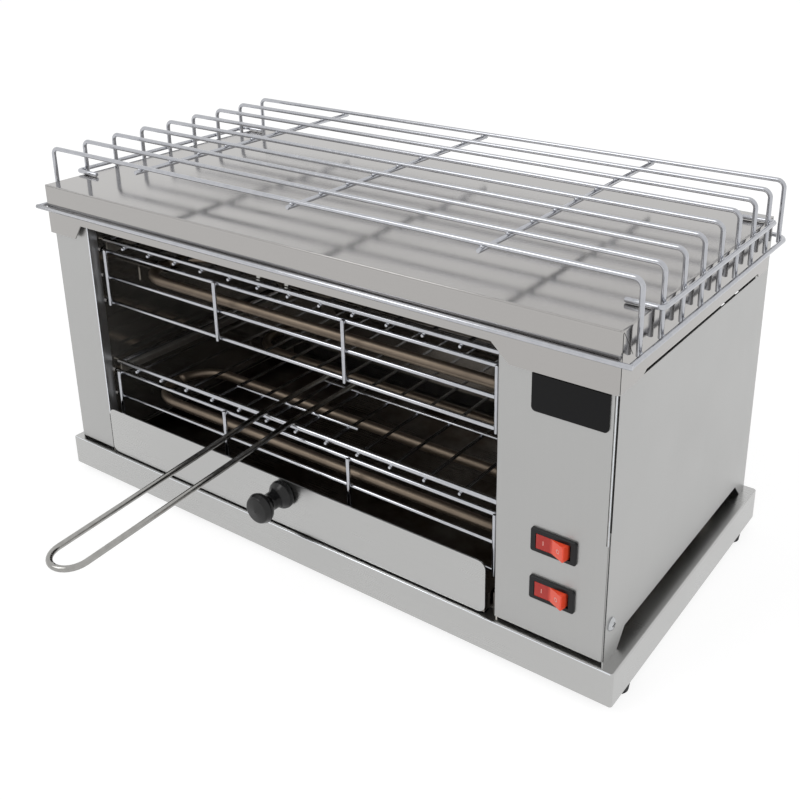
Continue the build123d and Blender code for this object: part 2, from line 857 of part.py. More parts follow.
# Crumb tray: a shallow pan with a taller front that fills the bottom of the opening.
tray_left_gap = 0.6
tray_right_gap = 6.4
tray_front_height = 39.7
tray_wall = 12.0
tray_sheet = 1.2
tray_lift = 1.3
tray_corner = 6.0
tray_rear_gap = 12.0
tray_pan_inset = 1.0
tray_left = opening_left + tray_left_gap
tray_right = opening_right - tray_right_gap
tray_face = casing_front - 1.0
tray_bottom = plinth_top + tray_lift
tray_back = cavity_rear - tray_rear_gap
pan_left = tray_left + tray_pan_inset
pan_right = tray_right - tray_pan_inset
knob_x = -12.0
knob_rise = 29.2
knob_z = tray_bottom + knob_rise
with BuildPart() as tray:
    with BuildSketch(Plane.XZ.offset(-tray_face)) as tray_front:
        with Locations(((tray_left + tray_right) / 2, tray_bottom + tray_front_height / 2)):
            Rectangle(tray_right - tray_left, tray_front_height)
        fillet(tray_front.vertices().group_by(Axis.Z)[-1], tray_corner)
    extrude(amount=-tray_sheet)
    pan_front = tray_face + tray_sheet
    block((pan_left, pan_right), (pan_front, tray_back), (tray_bottom, tray_bottom + tray_wall))
    block(
        (pan_left + tray_sheet, pan_right - tray_sheet),
        (pan_front, tray_back - tray_sheet),
        (tray_bottom + tray_sheet, tray_bottom + tray_wall),
        mode=Mode.SUBTRACT,
    )
    rod_y(knob_x, tray_face, pan_front, knob_z, screw_hole, mode=Mode.SUBTRACT)
tray.part.label = "crumb_tray"
export_step(tray.part, "parts/crumb_tray.step")

# Knob: turned black plastic, two discs with a straight waist between them.
knob_length = 31.0
knob_rear_r = 11.2
knob_front_r = 11.8
knob_waist_r = 6.8
knob_rim_round = 1.8
knob_waist_round = 7.0
knob_thread_depth = 12.0
knob_screw_grip = 11.0
knob_place = Axis((knob_x, 0, knob_z), (0, 1, 0))
with BuildPart() as knob:
    with BuildSketch(Plane.XY.offset(knob_z)) as knob_half:
        with BuildLine():
            Polyline(
                (knob_x, tray_face),
                (knob_x + 9.6, tray_face),
                (knob_x + knob_rear_r, tray_face - 2.8),
                (knob_x + 10.4, tray_face - 5.6),
                (knob_x + knob_waist_r, tray_face - 10.2),
                (knob_x + knob_waist_r, tray_face - 18.6),
                (knob_x + 10.8, tray_face - 22.6),
                (knob_x + knob_front_r, tray_face - 25.4),
                (knob_x + 10.0, tray_face - 29.8),
                (knob_x, tray_face - knob_length),
                close=True,
            )
        make_face()
        waist_corners = knob_half.vertices().group_by(Axis.X)[1]
        fillet(waist_corners, knob_waist_round)
        fillet(knob_half.vertices().filter_by(lambda v: v.X > knob_x + 9), knob_rim_round)
    revolve(axis=knob_place)
    rod_y(
        knob_x,
        tray_face - knob_thread_depth,
        tray_face,
        knob_z,
        screw_d + thread_clear,
        mode=Mode.SUBTRACT,
    )
knob.part.label = "tray_knob"
export_step(knob.part, "parts/tray_knob.step")

with BuildPart() as knob_screw:
    pan_head_y(knob_x, tray_face + tray_sheet, knob_z, -1, tray_sheet + knob_screw_grip)
knob_screw.part.label = "tray_knob_screw"
export_step(knob_screw.part, "parts/tray_knob_screw.step")

# Tray guides: an angle on the plinth at each side of the pan.
guide_width = 15.0
guide_height = 12.0
guide_clear = 1.4
guide_setback = 1.0
with BuildPart() as tray_guides:
    guide_y = (casing_front + return_depth + guide_setback, cavity_rear)
    left_x = pan_left - guide_clear - sheet
    right_x = pan_right + guide_clear + sheet
    block((left_x, left_x + guide_width), guide_y, (plinth_top, plinth_top + sheet))
    block((left_x, left_x + sheet), guide_y, (plinth_top, plinth_top + guide_height))
    block((right_x - guide_width, right_x), guide_y, (plinth_top, plinth_top + sheet))
    block((right_x - sheet, right_x), guide_y, (plinth_top, plinth_top + guide_height))
tray_guides.part.label = "tray_guides"
export_step(tray_guides.part, "parts/tray_guides.step")

# Grids: a rod frame with wires welded under it from front to back.
frame_end_gap = 4.5
grid_rear_gap = 12.0
side_rod_inset = 7.5
wire_front_reach = 2.8
wire_rear_reach = 3.0
first_wire = 29.0
last_wire_gap = 14.0
grid_front = guard_y
grid_back = cavity_rear - grid_rear_gap
frame_left = cavity_left + frame_end_gap
frame_right = cavity_right - frame_end_gap
wire_span = frame_right - last_wire_gap - (cavity_left + first_wire)
wire_count = int(wire_span // grid_pitch) + 1
wire_xs = [cavity_left + first_wire + grid_pitch * i for i in range(wire_count)]


def grid(z):
    """Adds one grid: front, rear and side rods with the wires below the rods."""
    wire_z = z - frame_rod / 2 - grid_wire / 2 + weld_sink
    rod_x(frame_left, frame_right, grid_front, z, frame_rod)
    rod_x(frame_left, frame_right, grid_back, z, frame_rod)
    butt = frame_rod / 2 - weld_sink
    for x in (cavity_left + side_rod_inset, cavity_right - side_rod_inset):
        rod_y(x, grid_front + butt, grid_back - butt, z, frame_rod)
    for x in wire_xs:
        rod_y(x, grid_front - wire_front_reach, grid_back + wire_rear_reach, wire_z, grid_wire)
    return wire_z


# Short rods across the middle wires stiffen the lower grid under its handle.
stiffener_front_y = grid_front + 24.0
stiffener_mid_y = grid_front + 70.0
stiffener_rear_y = grid_front + 83.5
handle_x = -25.0
handle_spacing = 27.0
with BuildPart() as lower_grid:
    lower_wire_z = grid(lower_grid_z)
    stiffener_z = lower_wire_z + grid_wire - weld_sink
    rod_x(handle_x - 68, handle_x + 55, stiffener_front_y, stiffener_z, grid_wire)
    rod_x(handle_x - 22, handle_x + 162, stiffener_mid_y, stiffener_z, grid_wire)
    rod_x(handle_x - 74, handle_x + 17, stiffener_rear_y, stiffener_z, grid_wire)
lower_grid.part.label = "lower_grid"
export_step(lower_grid.part, "parts/lower_grid.step")

with BuildPart() as upper_grid:
    grid(upper_grid_z)
upper_grid.part.label = "upper_grid"
export_step(upper_grid.part, "parts/upper_grid.step")

# Handle: one rod bent to a long loop, lying on the lower grid's front rod.
handle_back = grid_front + 75.0
handle_reach = 197.0
handle_dip = 14.0
handle_bend = 40.0
with BuildPart() as handle:
    rod_z_height = lower_grid_z + frame_rod / 2 + handle_rod / 2
    half_gap = handle_spacing / 2
    tip_y = grid_front - handle_reach
    dip_angle = math.atan2(handle_dip, handle_reach)
    arc_y = tip_y + half_gap * math.cos(dip_angle)
    arc_z = rod_z_height - handle_dip + half_gap * math.sin(dip_angle)
    left_x = handle_x - half_gap
    right_x = handle_x + half_gap
    with BuildLine(mode=Mode.PRIVATE) as loop_line:
        FilletPolyline(
            (left_x, handle_back, rod_z_height),
            (left_x, grid_front, rod_z_height),
            (left_x, arc_y, arc_z),
            radius=handle_bend,
        )
        ThreePointArc(
            (left_x, arc_y, arc_z),
            (handle_x, tip_y, rod_z_height - handle_dip),
            (right_x, arc_y, arc_z),
        )
        FilletPolyline(
            (right_x, arc_y, arc_z),
            (right_x, grid_front, rod_z_height),
            (right_x, handle_back, rod_z_height),
            radius=handle_bend,
        )
    with BuildSketch(
        Plane(origin=loop_line.line @ 0, z_dir=loop_line.line % 0), mode=Mode.PRIVATE
    ) as rod_section:
        Circle(handle_rod / 2)
    sweep(sections=rod_section.sketch, path=loop_line.line)
handle.part.label = "grid_handle"
export_step(handle.part, "parts/grid_handle.step")

# Two short rods on the upper grid, ending at its front rod.
root_length = 55.0
root_setback = 1.0
with BuildPart() as handle_roots:
    root_z = upper_grid_z + frame_rod / 2 + handle_rod / 2
    for x in (handle_x - handle_spacing / 2, handle_x + handle_spacing / 2):
        rod_y(x, grid_front + root_setback, grid_front + root_length, root_z, handle_rod)
handle_roots.part.label = "upper_grid_stubs"
export_step(handle_roots.part, "parts/upper_grid_stubs.step")

# Plate rack: bent wires over the cover, welded to a loop and two side rails.
rack_clear = 1.5
rack_height = 26.1
rack_rods = 9
rack_first = 15.0
rack_last = 8.0
rack_bend = 5.5
rail_bend = 3.6
rack_leg_x = cover_x + rack_clear + rack_wire / 2
rack_rail_x = rack_leg_x + rack_wire
rack_top_z = cover_top + rack_height
loop_drop = 18.5
loop_z = cover_top - loop_drop
loop_front = cover_front - rack_clear - rack_wire / 2
loop_rear_gap = 12.0
loop_rear = casing_rear + loop_rear_gap
loop_bend = 12.0
rack_y0 = cover_front + rack_first
rack_pitch = (loop_rear - rack_wire - rack_last - rack_y0) / (rack_rods - 1)
rack_ys = [rack_y0 + rack_pitch * i for i in range(rack_rods)]


def rack_rod(y):
    """Adds one rack wire: a long top with both ends bent down beside the cover."""
    foot_z = loop_z - rack_wire / 2
    bent_rod(
        [
            (-rack_leg_x, y, foot_z),
            (-rack_leg_x, y, rack_top_z),
            (rack_leg_x, y, rack_top_z),
            (rack_leg_x, y, foot_z),
        ],
        rack_bend,
        rack_wire,
    )


with BuildPart() as rack_front:
    for y in rack_ys[0:3]:
        rack_rod(y)
rack_front.part.label = "rack_rods_front"
export_step(rack_front.part, "parts/rack_rods_front.step")

with BuildPart() as rack_middle:
    for y in rack_ys[3:6]:
        rack_rod(y)
rack_middle.part.label = "rack_rods_middle"
export_step(rack_middle.part, "parts/rack_rods_middle.step")

with BuildPart() as rack_rear:
    for y in rack_ys[6:9]:
        rack_rod(y)
rack_rear.part.label = "rack_rods_rear"
export_step(rack_rear.part, "parts/rack_rods_rear.step")

cross_rod_x = 152.0
cross_reach = 5.0
with BuildPart() as rack_cross:
    cross_z = rack_top_z - rack_wire
    for x in (-cross_rod_x, 0, cross_rod_x):
        rod_y(x, rack_ys[0] - cross_reach, rack_ys[-1] + cross_reach, cross_z, rack_wire)
rack_cross.part.label = "rack_cross_rods"
export_step(rack_cross.part, "parts/rack_cross_rods.step")

# The loop round the cover: a straight front wire and a bent wire round the other sides.
with BuildPart() as rack_loop:
    front_reach = rack_rail_x + rack_wire / 2
    rod_x(-front_reach, front_reach, loop_front, loop_z, rack_wire)
    side_start = loop_front + rack_wire / 2 - weld_sink
    bent_rod(
        [
            (-rack_rail_x, side_start, loop_z),
            (-rack_rail_x, loop_rear, loop_z),
            (rack_rail_x, loop_rear, loop_z),
            (rack_rail_x, side_start, loop_z),
        ],
        loop_bend,
        rack_wire,
    )
rack_loop.part.label = "rack_loop"
export_step(rack_loop.part, "parts/rack_loop.step")

# Side rails: their ends turn in and rest on the cover, so the rack stands on them.
rail_inset = 24.0
rail_clear = 5.0
rail_z = cover_top + slide_clear + rack_wire / 2
rail_y0 = rack_ys[1] - rail_clear - rack_wire / 2
rail_y1 = rack_ys[7] + rail_clear + rack_wire / 2
with BuildPart() as rack_rails:
    for side in (-1, 1):
        rail_in = side * (rack_rail_x - rail_inset)
        rail_out = side * rack_rail_x
        bent_rod(
            [
                (rail_in, rail_y0, rail_z),
                (rail_out, rail_y0, rail_z),
                (rail_out, rail_y1, rail_z),
                (rail_in, rail_y1, rail_z),
            ],
            rail_bend,
            rack_wire,
        )
rack_rails.part.label = "rack_side_rails"
export_step(rack_rails.part, "parts/rack_side_rails.step")

# Cable gland in the rear panel, with a lock nut inside and a dome nut outside.
gland_bore = 7.0
gland_hex = 17.0
gland_flange = 4.0
gland_inside = 8.0
gland_thread = 6.0
with BuildPart() as gland:
    rod_y(gland_x, rear_in - gland_inside, casing_rear, gland_z, gland_d)
    with BuildSketch(Plane.XZ.offset(-casing_rear)):
        with Locations((gland_x, gland_z)):
            RegularPolygon(gland_hex / 2, 6, major_radius=False)
    extrude(amount=-gland_flange)
    gland_shoulder = casing_rear + gland_flange
    rod_y(gland_x, gland_shoulder, gland_shoulder + gland_thread, gland_z, gland_d)
    rod_y(
        gland_x,
        rear_in - gland_inside,
        gland_shoulder + gland_thread,
        gland_z,
        gland_bore,
        mode=Mode.SUBTRACT,
    )
gland.part.label = "cable_gland"
export_step(gland.part, "parts/cable_gland.step")

dome_length = 11.0
dome_round = 3.5
with BuildPart() as gland_dome:
    rod_y(gland_x, gland_shoulder, gland_shoulder + dome_length, gland_z, gland_hex)
    fillet(gland_dome.edges().group_by(Axis.Y)[-1], dome_round)
    rod_y(
        gland_x,
        gland_shoulder,
        gland_shoulder + gland_thread,
        gland_z,
        gland_d + thread_clear,
        mode=Mode.SUBTRACT,
    )
    rod_y(
        gland_x,
        gland_shoulder,
        gland_shoulder + dome_length,
        gland_z,
        gland_bore,
        mode=Mode.SUBTRACT,
    )
gland_dome.part.label = "gland_dome_nut"
export_step(gland_dome.part, "parts/gland_dome_nut.step")

lock_nut_height = 4.0
with BuildPart() as gland_nut:
    with BuildSketch(Plane.XZ.offset(-rear_in)):
        with Locations((gland_x, gland_z)):
            RegularPolygon(gland_hex / 2, 6, major_radius=False)
            Circle((gland_d + thread_clear) / 2, mode=Mode.SUBTRACT)
    extrude(amount=lock_nut_height)
gland_nut.part.label = "gland_lock_nut"
export_step(gland_nut.part, "parts/gland_lock_nut.step")

# Terminal block on the plinth in the switch compartment, four poles.
block_width = 52.0
block_depth = 20.0
block_height = 17.0
block_gap = 1.0
block_x = wall_outer_x + wall_flange + block_gap + block_width / 2
block_y = cavity_rear - 24.0
pole_pitch = 12.0
wire_bore = 3.4
wire_bore_rise = 6.0
clamp_d = 3.8
clamp_sink = 1.5
pole_xs = [block_x + pole_pitch * i for i in (-1.5, -0.5, 0.5, 1.5)]
clamp_ys = (block_y - 5.0, block_y + 5.0)
with BuildPart() as terminal_block:
    block(
        (block_x - block_width / 2, block_x + block_width / 2),
        (block_y - block_depth / 2, block_y + block_depth / 2),
        (plinth_top, plinth_top + block_height),
    )
    for x in pole_xs:
        rod_y(
            x,
            block_y - block_depth / 2,
            block_y + block_depth / 2,
            plinth_top + wire_bore_rise,
            wire_bore,
            mode=Mode.SUBTRACT,
        )
        for y in clamp_ys:
            rod_z(
                x,
                y,
                plinth_top + wire_bore_rise,
                plinth_top + block_height,
                clamp_d + bore_clear,
                mode=Mode.SUBTRACT,
            )
terminal_block.part.label = "terminal_block"
export_step(terminal_block.part, "parts/terminal_block.step")

clamp_bottom = plinth_top + wire_bore_rise + wire_bore / 2
with BuildPart() as clamp_screws:
    for x in pole_xs:
        for y in clamp_ys:
            rod_z(x, y, clamp_bottom, plinth_top + block_height - clamp_sink, clamp_d)
clamp_screws.part.label = "terminal_screws"
export_step(clamp_screws.part, "parts/terminal_screws.step")

# Earth stud on the plinth, with its nut.
earth_d = 5.0
earth_base_d = 9.0
earth_base = 2.0
earth_length = 16.0
earth_nut_width = 8.0
earth_nut_height = 4.0
earth_x = casing_x - 22.0
earth_y = block_y - 40.0
with BuildPart() as earth_stud:
    rod_z(earth_x, earth_y, plinth_top, plinth_top + earth_length, earth_d)
    rod_z(earth_x, earth_y, plinth_top, plinth_top + earth_base, earth_base_d)
earth_stud.part.label = "earth_stud"
export_step(earth_stud.part, "parts/earth_stud.step")

with BuildPart() as earth_nut:
    with BuildSketch(Plane.XY.offset(plinth_top + earth_base)):
        with Locations((earth_x, earth_y)):
            RegularPolygon(earth_nut_width / 2, 6, major_radius=False)
            Circle((earth_d + thread_clear) / 2, mode=Mode.SUBTRACT)
    extrude(amount=earth_nut_height)
earth_nut.part.label = "earth_nut"
export_step(earth_nut.part, "parts/earth_nut.step")

# Leads inside the switch compartment: blade terminals to studs and terminal block.
lead_d = 3.0
lead_bend = 6.0
lead_gap = 0.1
lead_entry = 5.0
stud_end = element_end + stud_length + lead_gap
tab_end = tab_back + lead_gap
tab_left = switch_x - tab_offset
tab_right = switch_x + tab_offset
pole_y = block_y - block_depth / 2 + lead_entry
pole_z = plinth_top + wire_bore_rise
lane_near = casing_x - 23.0
lane_middle = casing_x - 19.0
lane_far = casing_x - 11.0
front_leg, front_back_leg, rear_front_leg, rear_leg = leg_places
lead_routes = [
    [
        (tab_left, tab_end, upper_switch_z),
        (tab_left, tab_end + 15.4, upper_switch_z),
        (lane_middle, tab_end + 15.4, upper_switch_z + 43),
        (lane_middle, front_leg, element_high_z),
        (stud_end, front_leg, element_high_z),
    ],
    [
        (tab_left, tab_end, lower_switch_z),
        (tab_left, tab_end + 11.4, lower_switch_z),
        (lane_near, tab_end + 11.4, lower_switch_z + 18),
        (lane_near, front_leg, element_low_z),
        (stud_end, front_leg, element_low_z),
    ],
    [
        (stud_end, rear_leg, element_high_z),
        (lane_far, rear_leg, element_high_z),
        (lane_far, block_y - 31, element_high_z - 80),
        (pole_xs[3], block_y - 31, pole_z),
        (pole_xs[3], pole_y, pole_z),
    ],
    [
        (stud_end, rear_leg, element_low_z),
        (lane_near, rear_leg, element_low_z),
        (lane_near, block_y - 24, element_low_z - 14),
        (pole_xs[2], block_y - 24, pole_z),
        (pole_xs[2], pole_y, pole_z),
    ],
    [
        (pole_xs[0], pole_y, pole_z),
        (pole_xs[0], block_y - 41, pole_z),
        (lane_far, block_y - 66, pole_z + 21),
        (lane_far, tab_end + 35.4, upper_switch_z - 7),
        (tab_right, tab_end + 17.4, upper_switch_z),
        (tab_right, tab_end, upper_switch_z),
    ],
    [
        (pole_xs[1], pole_y, pole_z),
        (pole_xs[1], block_y - 36, pole_z),
        (lane_middle, block_y - 66, pole_z + 6),
        (lane_middle, tab_end + 35.4, lower_switch_z - 11.5),
        (tab_right, tab_end + 17.4, lower_switch_z),
        (tab_right, tab_end, lower_switch_z),
    ],
]
for z in (element_low_z, element_high_z):
    lead_routes.append(
        [
            (stud_end, front_back_leg, z),
            (lane_near - 4, front_back_leg, z),
            (lane_near - 4, rear_front_leg, z),
            (stud_end, rear_front_leg, z),
        ]
    )
with BuildPart() as leads:
    for lead_points in lead_routes:
        bent_rod(lead_points, lead_bend, lead_d)
leads.part.label = "internal_leads"
export_step(leads.part, "parts/internal_leads.step")
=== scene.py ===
import bpy
import bmesh
import math
from mathutils import Matrix, Vector


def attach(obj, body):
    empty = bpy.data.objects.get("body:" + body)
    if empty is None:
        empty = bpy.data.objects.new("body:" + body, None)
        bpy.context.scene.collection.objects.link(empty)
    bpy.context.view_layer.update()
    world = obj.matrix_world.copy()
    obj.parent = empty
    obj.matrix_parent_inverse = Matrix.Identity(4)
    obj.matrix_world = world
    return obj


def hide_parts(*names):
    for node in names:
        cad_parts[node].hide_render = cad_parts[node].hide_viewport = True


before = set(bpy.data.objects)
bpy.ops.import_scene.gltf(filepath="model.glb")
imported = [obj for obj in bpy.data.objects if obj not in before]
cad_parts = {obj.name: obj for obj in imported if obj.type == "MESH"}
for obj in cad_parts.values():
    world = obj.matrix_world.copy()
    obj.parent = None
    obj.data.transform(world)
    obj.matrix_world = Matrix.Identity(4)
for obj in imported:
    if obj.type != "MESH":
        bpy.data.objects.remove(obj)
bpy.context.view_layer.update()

# Studio: one wide pale floor and a white surround. Camera, glossy and transmitted rays
# see plain white; the lamps give the soft light of a product photograph.


def linear(hex_colour):
    """Turns an sRGB hex colour into linear RGBA."""
    channels = [int(hex_colour[i : i + 2], 16) / 255 for i in (1, 3, 5)]
    return [
        c / 12.92 if c <= 0.04045 else ((c + 0.055) / 1.055) ** 2.4 for c in channels
    ] + [1.0]


def add(tree, kind, settings=None, **links):
    """Adds a node. Settings are attributes or sockets by name. A link gives the source of a
    socket, by its name with underscores, or by i and its number."""
    made = tree.nodes.new(kind)
    for key, value in (settings or {}).items():
        if key in made.inputs:
            made.inputs[key].default_value = value
        else:
            setattr(made, key, value)
    for key, source in links.items():
        socket = int(key[1:]) if key[1:].isdigit() else key.replace("_", " ")
        tree.links.new(source, made.inputs[socket])
    return made


def new_material(name):
    """Starts an empty node material."""
    made = bpy.data.materials.new(name)
    made.use_nodes = True
    made.node_tree.nodes.clear()
    return made


scene = bpy.context.scene
scene.view_settings.view_transform = "Standard"

studio = bpy.data.worlds.new("white_studio")
studio.use_nodes = True
studio.node_tree.nodes.clear()


def seen_directly(tree):
    """Gives 1 for camera, glossy and transmission rays, which see the white background."""
    ray = add(tree, "ShaderNodeLightPath")
    either = add(
        tree,
        "ShaderNodeMath",
        {"operation": "MAXIMUM"},
        i0=ray.outputs["Is Camera Ray"],
        i1=ray.outputs["Is Glossy Ray"],
    )
    return add(
        tree,
        "ShaderNodeMath",
        {"operation": "MAXIMUM"},
        i0=either.outputs[0],
        i1=ray.outputs["Is Transmission Ray"],
    )


seen = seen_directly(studio.node_tree)
fill = add(studio.node_tree, "ShaderNodeBackground", {"Color": linear("#FFFFFF"), "Strength": 0.6})
white = add(studio.node_tree, "ShaderNodeBackground", {"Color": linear("#FFFFFF"), "Strength": 1.0})
sky = add(
    studio.node_tree,
    "ShaderNodeMixShader",
    i0=seen.outputs[0],
    i1=fill.outputs[0],
    i2=white.outputs[0],
)
add(studio.node_tree, "ShaderNodeOutputWorld", Surface=sky.outputs[0])
scene.world = studio

floor_half = 4.0
floor_mesh = bpy.data.meshes.new("studio_floor")
floor_mesh.from_pydata(
    [
        (-floor_half, -floor_half, 0),
        (floor_half, -floor_half, 0),
        (floor_half, floor_half, 0),
        (-floor_half, floor_half, 0),
    ],
    [],
    [(0, 1, 2, 3)],
)
floor = bpy.data.objects.new("studio_floor", floor_mesh)
scene.collection.objects.link(floor)
paper = new_material("white_paper")
seen = seen_directly(paper.node_tree)
plain_paper = add(
    paper.node_tree, "ShaderNodeBsdfDiffuse", {"Color": linear("#E6E6E6"), "Roughness": 0.5}
)
lit_paper = add(
    paper.node_tree, "ShaderNodeBsdfDiffuse", {"Color": linear("#9C9C9C"), "Roughness": 0.5}
)
glow = add(paper.node_tree, "ShaderNodeEmission", {"Color": linear("#FFFFFF"), "Strength": 0.79})
bright_paper = add(
    paper.node_tree, "ShaderNodeAddShader", i0=lit_paper.outputs[0], i1=glow.outputs[0]
)
paper_mix = add(
    paper.node_tree,
    "ShaderNodeMixShader",
    i0=seen.outputs[0],
    i1=plain_paper.outputs[0],
    i2=bright_paper.outputs[0],
)
add(paper.node_tree, "ShaderNodeOutputMaterial", Surface=paper_mix.outputs[0])
floor_mesh.materials.append(paper)

for name, place, aim, size, power in (
    ("key_lamp", (-1.1, -1.9, 2.3), (0.0, 0.0, 0.1), 1.6, 20.0),
    ("side_lamp", (2.4, -0.5, 1.7), (0.1, 0.0, 0.1), 1.4, 12.0),
    ("back_lamp", (0.2, 2.0, 2.2), (0.0, 0.0, 0.1), 1.8, 8.0),
):
    lamp = bpy.data.lights.new(name, "AREA")
    lamp.shape = "SQUARE"
    lamp.size = size
    lamp.energy = power
    stand = bpy.data.objects.new(name, lamp)
    stand.location = place
    stand.rotation_mode = "QUATERNION"
    stand.rotation_quaternion = (Vector(aim) - Vector(place)).to_track_quat("-Z", "Y")
    stand.visible_glossy = name == "key_lamp"
    scene.collection.objects.link(stand)

camera_data = bpy.data.cameras.new("photo_view")
camera_data.sensor_width = 36.0
camera_data.lens = 47.52
camera_data.shift_x = -0.0625
camera_data.shift_y = -0.1625
camera_data.clip_start = 0.01
camera_data.clip_end = 50
camera = bpy.data.objects.new("photo_view", camera_data)
camera.location = (0.47155, -0.60955, 0.49314)
camera.rotation_euler = (math.radians(69.368), math.radians(0.014), math.radians(34.601))
scene.collection.objects.link(camera)
scene.camera = camera

# Plinth: one folded tray of 1 mm stainless sheet with a fine ground finish. It shows no
# lines at arm's length, only a soft mirror image of the casing that stands on it.


def ground_steel(name, colour, along, roughness, metallic=1.0):
    """Stainless sheet, fine ground along one axis. The real lines, 0.1 mm apart, are too
    fine to show, so they are drawn 0.5 mm apart and 250 mm long, and very faint. Smudges
    83 mm wide change its roughness a little."""
    made = new_material(name)
    tree = made.node_tree
    place = add(tree, "ShaderNodeTexCoord")
    stretch = [1 / 0.0005] * 3
    stretch[along] = 1 / 0.25
    lines = add(tree, "ShaderNodeMapping", {"Scale": stretch}, Vector=place.outputs["Object"])
    grain = add(
        tree,
        "ShaderNodeTexNoise",
        {"Scale": 1.0, "Detail": 2.0, "Roughness": 0.5},
        Vector=lines.outputs[0],
    )
    smudge = add(
        tree,
        "ShaderNodeTexNoise",
        {"Scale": 1 / 0.0833, "Detail": 3.0, "Roughness": 0.5},
        Vector=place.outputs["Object"],
    )
    rough_lines = add(
        tree,
        "ShaderNodeMapRange",
        {"From Min": 0.3, "From Max": 0.7, "To Min": roughness - 0.02, "To Max": roughness + 0.02},
        Value=grain.outputs["Fac"],
    )
    rough_smudge = add(
        tree,
        "ShaderNodeMapRange",
        {"From Min": 0.35, "From Max": 0.65, "To Min": -0.02, "To Max": 0.03},
        Value=smudge.outputs["Fac"],
    )
    rough = add(
        tree,
        "ShaderNodeMath",
        {"operation": "ADD"},
        i0=rough_lines.outputs[0],
        i1=rough_smudge.outputs[0],
    )
    tint = add(tree, "ShaderNodeMix", {"data_type": "RGBA", "blend_type": "MULTIPLY"})
    tint.inputs[0].default_value = 0.05
    tint.inputs[6].default_value = linear(colour)
    tree.links.new(grain.outputs["Fac"], tint.inputs[7])
    relief = add(
        tree,
        "ShaderNodeBump",
        {"Strength": 0.012, "Distance": 0.0001},
        Height=grain.outputs["Fac"],
    )
    steel = add(
        tree,
        "ShaderNodeBsdfPrincipled",
        {"Metallic": metallic},
        Base_Color=tint.outputs[2],
        Roughness=rough.outputs[0],
        Normal=relief.outputs[0],
    )
    add(tree, "ShaderNodeOutputMaterial", Surface=steel.outputs[0])
    return made


def dress(material, *nodes):
    """Gives CAD nodes their finish."""
    for node in nodes:
        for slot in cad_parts[node].material_slots:
            slot.material = material


long_ground = ground_steel("long_ground_stainless", "#BBBBBA", 0, 0.28)
dress(long_ground, "plinth")

# Feet: four moulded rubber pads, tapered, each held to the plinth's flange by a bolt and
# a nut. The rubber is dull black with a fine bloom.


def mottled(name, spot, surface, tones=None, rough=None, relief=None, **noise):
    """Makes a material with one noise, its spots given in millimetres. The noise drifts the
    colour between two tones, the roughness between two values, or raises the surface."""
    made = new_material(name)
    tree = made.node_tree
    place = add(tree, "ShaderNodeTexCoord")
    grain = add(
        tree,
        "ShaderNodeTexNoise",
        {"Scale": 1000 / spot, **noise},
        Vector=place.outputs["Object"],
    )
    shader = add(tree, "ShaderNodeBsdfPrincipled", surface)
    if tones:
        tone = add(tree, "ShaderNodeMix", {"data_type": "RGBA"}, i0=grain.outputs["Fac"])
        tone.inputs[6].default_value = linear(tones[0])
        tone.inputs[7].default_value = linear(tones[1])
        tree.links.new(tone.outputs[2], shader.inputs["Base Color"])
    if rough:
        drift = add(tree, "ShaderNodeMapRange", rough, Value=grain.outputs["Fac"])
        tree.links.new(drift.outputs[0], shader.inputs["Roughness"])
    if relief:
        raised = add(tree, "ShaderNodeBump", relief, Height=grain.outputs["Fac"])
        tree.links.new(raised.outputs[0], shader.inputs["Normal"])
    add(tree, "ShaderNodeOutputMaterial", Surface=shader.outputs[0])
    return made


rubber = mottled(
    "moulded_rubber",
    0.667,
    {"Roughness": 0.75},
    tones=("#18181A", "#242426"),
    relief={"Strength": 0.2, "Distance": 0.0001},
    Detail=2.0,
)
dress(rubber, "rubber_feet")

# Base fasteners: bolts, nuts and screws of pressed steel. Their bright zinc plate is a
# bluish grey metal with a cloudy, half-dull shine.
zinc = mottled(
    "bright_zinc_plate",
    1.43,
    {"Metallic": 1.0},
    tones=("#A9ABAD", "#C6C8CA"),
    rough={"To Min": 0.12, "To Max": 0.32},
    Detail=3.0,
)
dress(zinc, "foot_bolts", "foot_nuts", "base_screws")

# Lining of the toasting space: bright annealed stainless sheet, close to a mirror. Heat
# from the elements has tinted it straw and brown in soft clouds and left a dull film.
lining = mottled(
    "heat_tinted_bright_stainless",
    62.5,
    {"Metallic": 0.86},
    tones=("#8F8A83", "#B9B6B1"),
    rough={"From Min": 0.3, "From Max": 0.7, "To Min": 0.05, "To Max": 0.12},
    Detail=4.0,
    Roughness=0.6,
)
dress(
    lining,
    "left_inner_wall",
    "right_inner_wall",
    "rear_reflector",
    "ceiling_reflector",
    "element_brackets",
)

# Runners and tray guides: folded angles of the outer sheet's steel, fixed to the inner
# walls and the plinth. They are paler than the lining, because heat hasn't tinted them.
runner_steel = ground_steel("runner_stainless", "#B9B6B0", 1, 0.3, 0.75)
dress(runner_steel, "lower_runners", "upper_runners", "tray_guides")

# Outer panels: folded stainless sheet, fine ground upright on the sides and the front. They
# stand on the plinth and are screwed to each other's folds, with an even, satin grey look.
upright_ground = ground_steel("upright_ground_stainless", "#B4B4B3", 2, 0.36, 0.92)
dress(upright_ground, "left_side_panel", "right_side_panel", "control_panel", "rear_panel")

# Guards: three straight wires and four ties in front of each pair of elements, spot
# welded where they cross. Chrome plate gives them narrow bright and dark streaks. Their
# ends pass into the inner walls.
chrome = mottled(
    "chrome_plated_wire",
    3.85,
    {"Metallic": 1.0},
    tones=("#A8AAB0", "#C0C1C5"),
    rough={"To Min": 0.08, "To Max": 0.22},
    Detail=3.0,
)


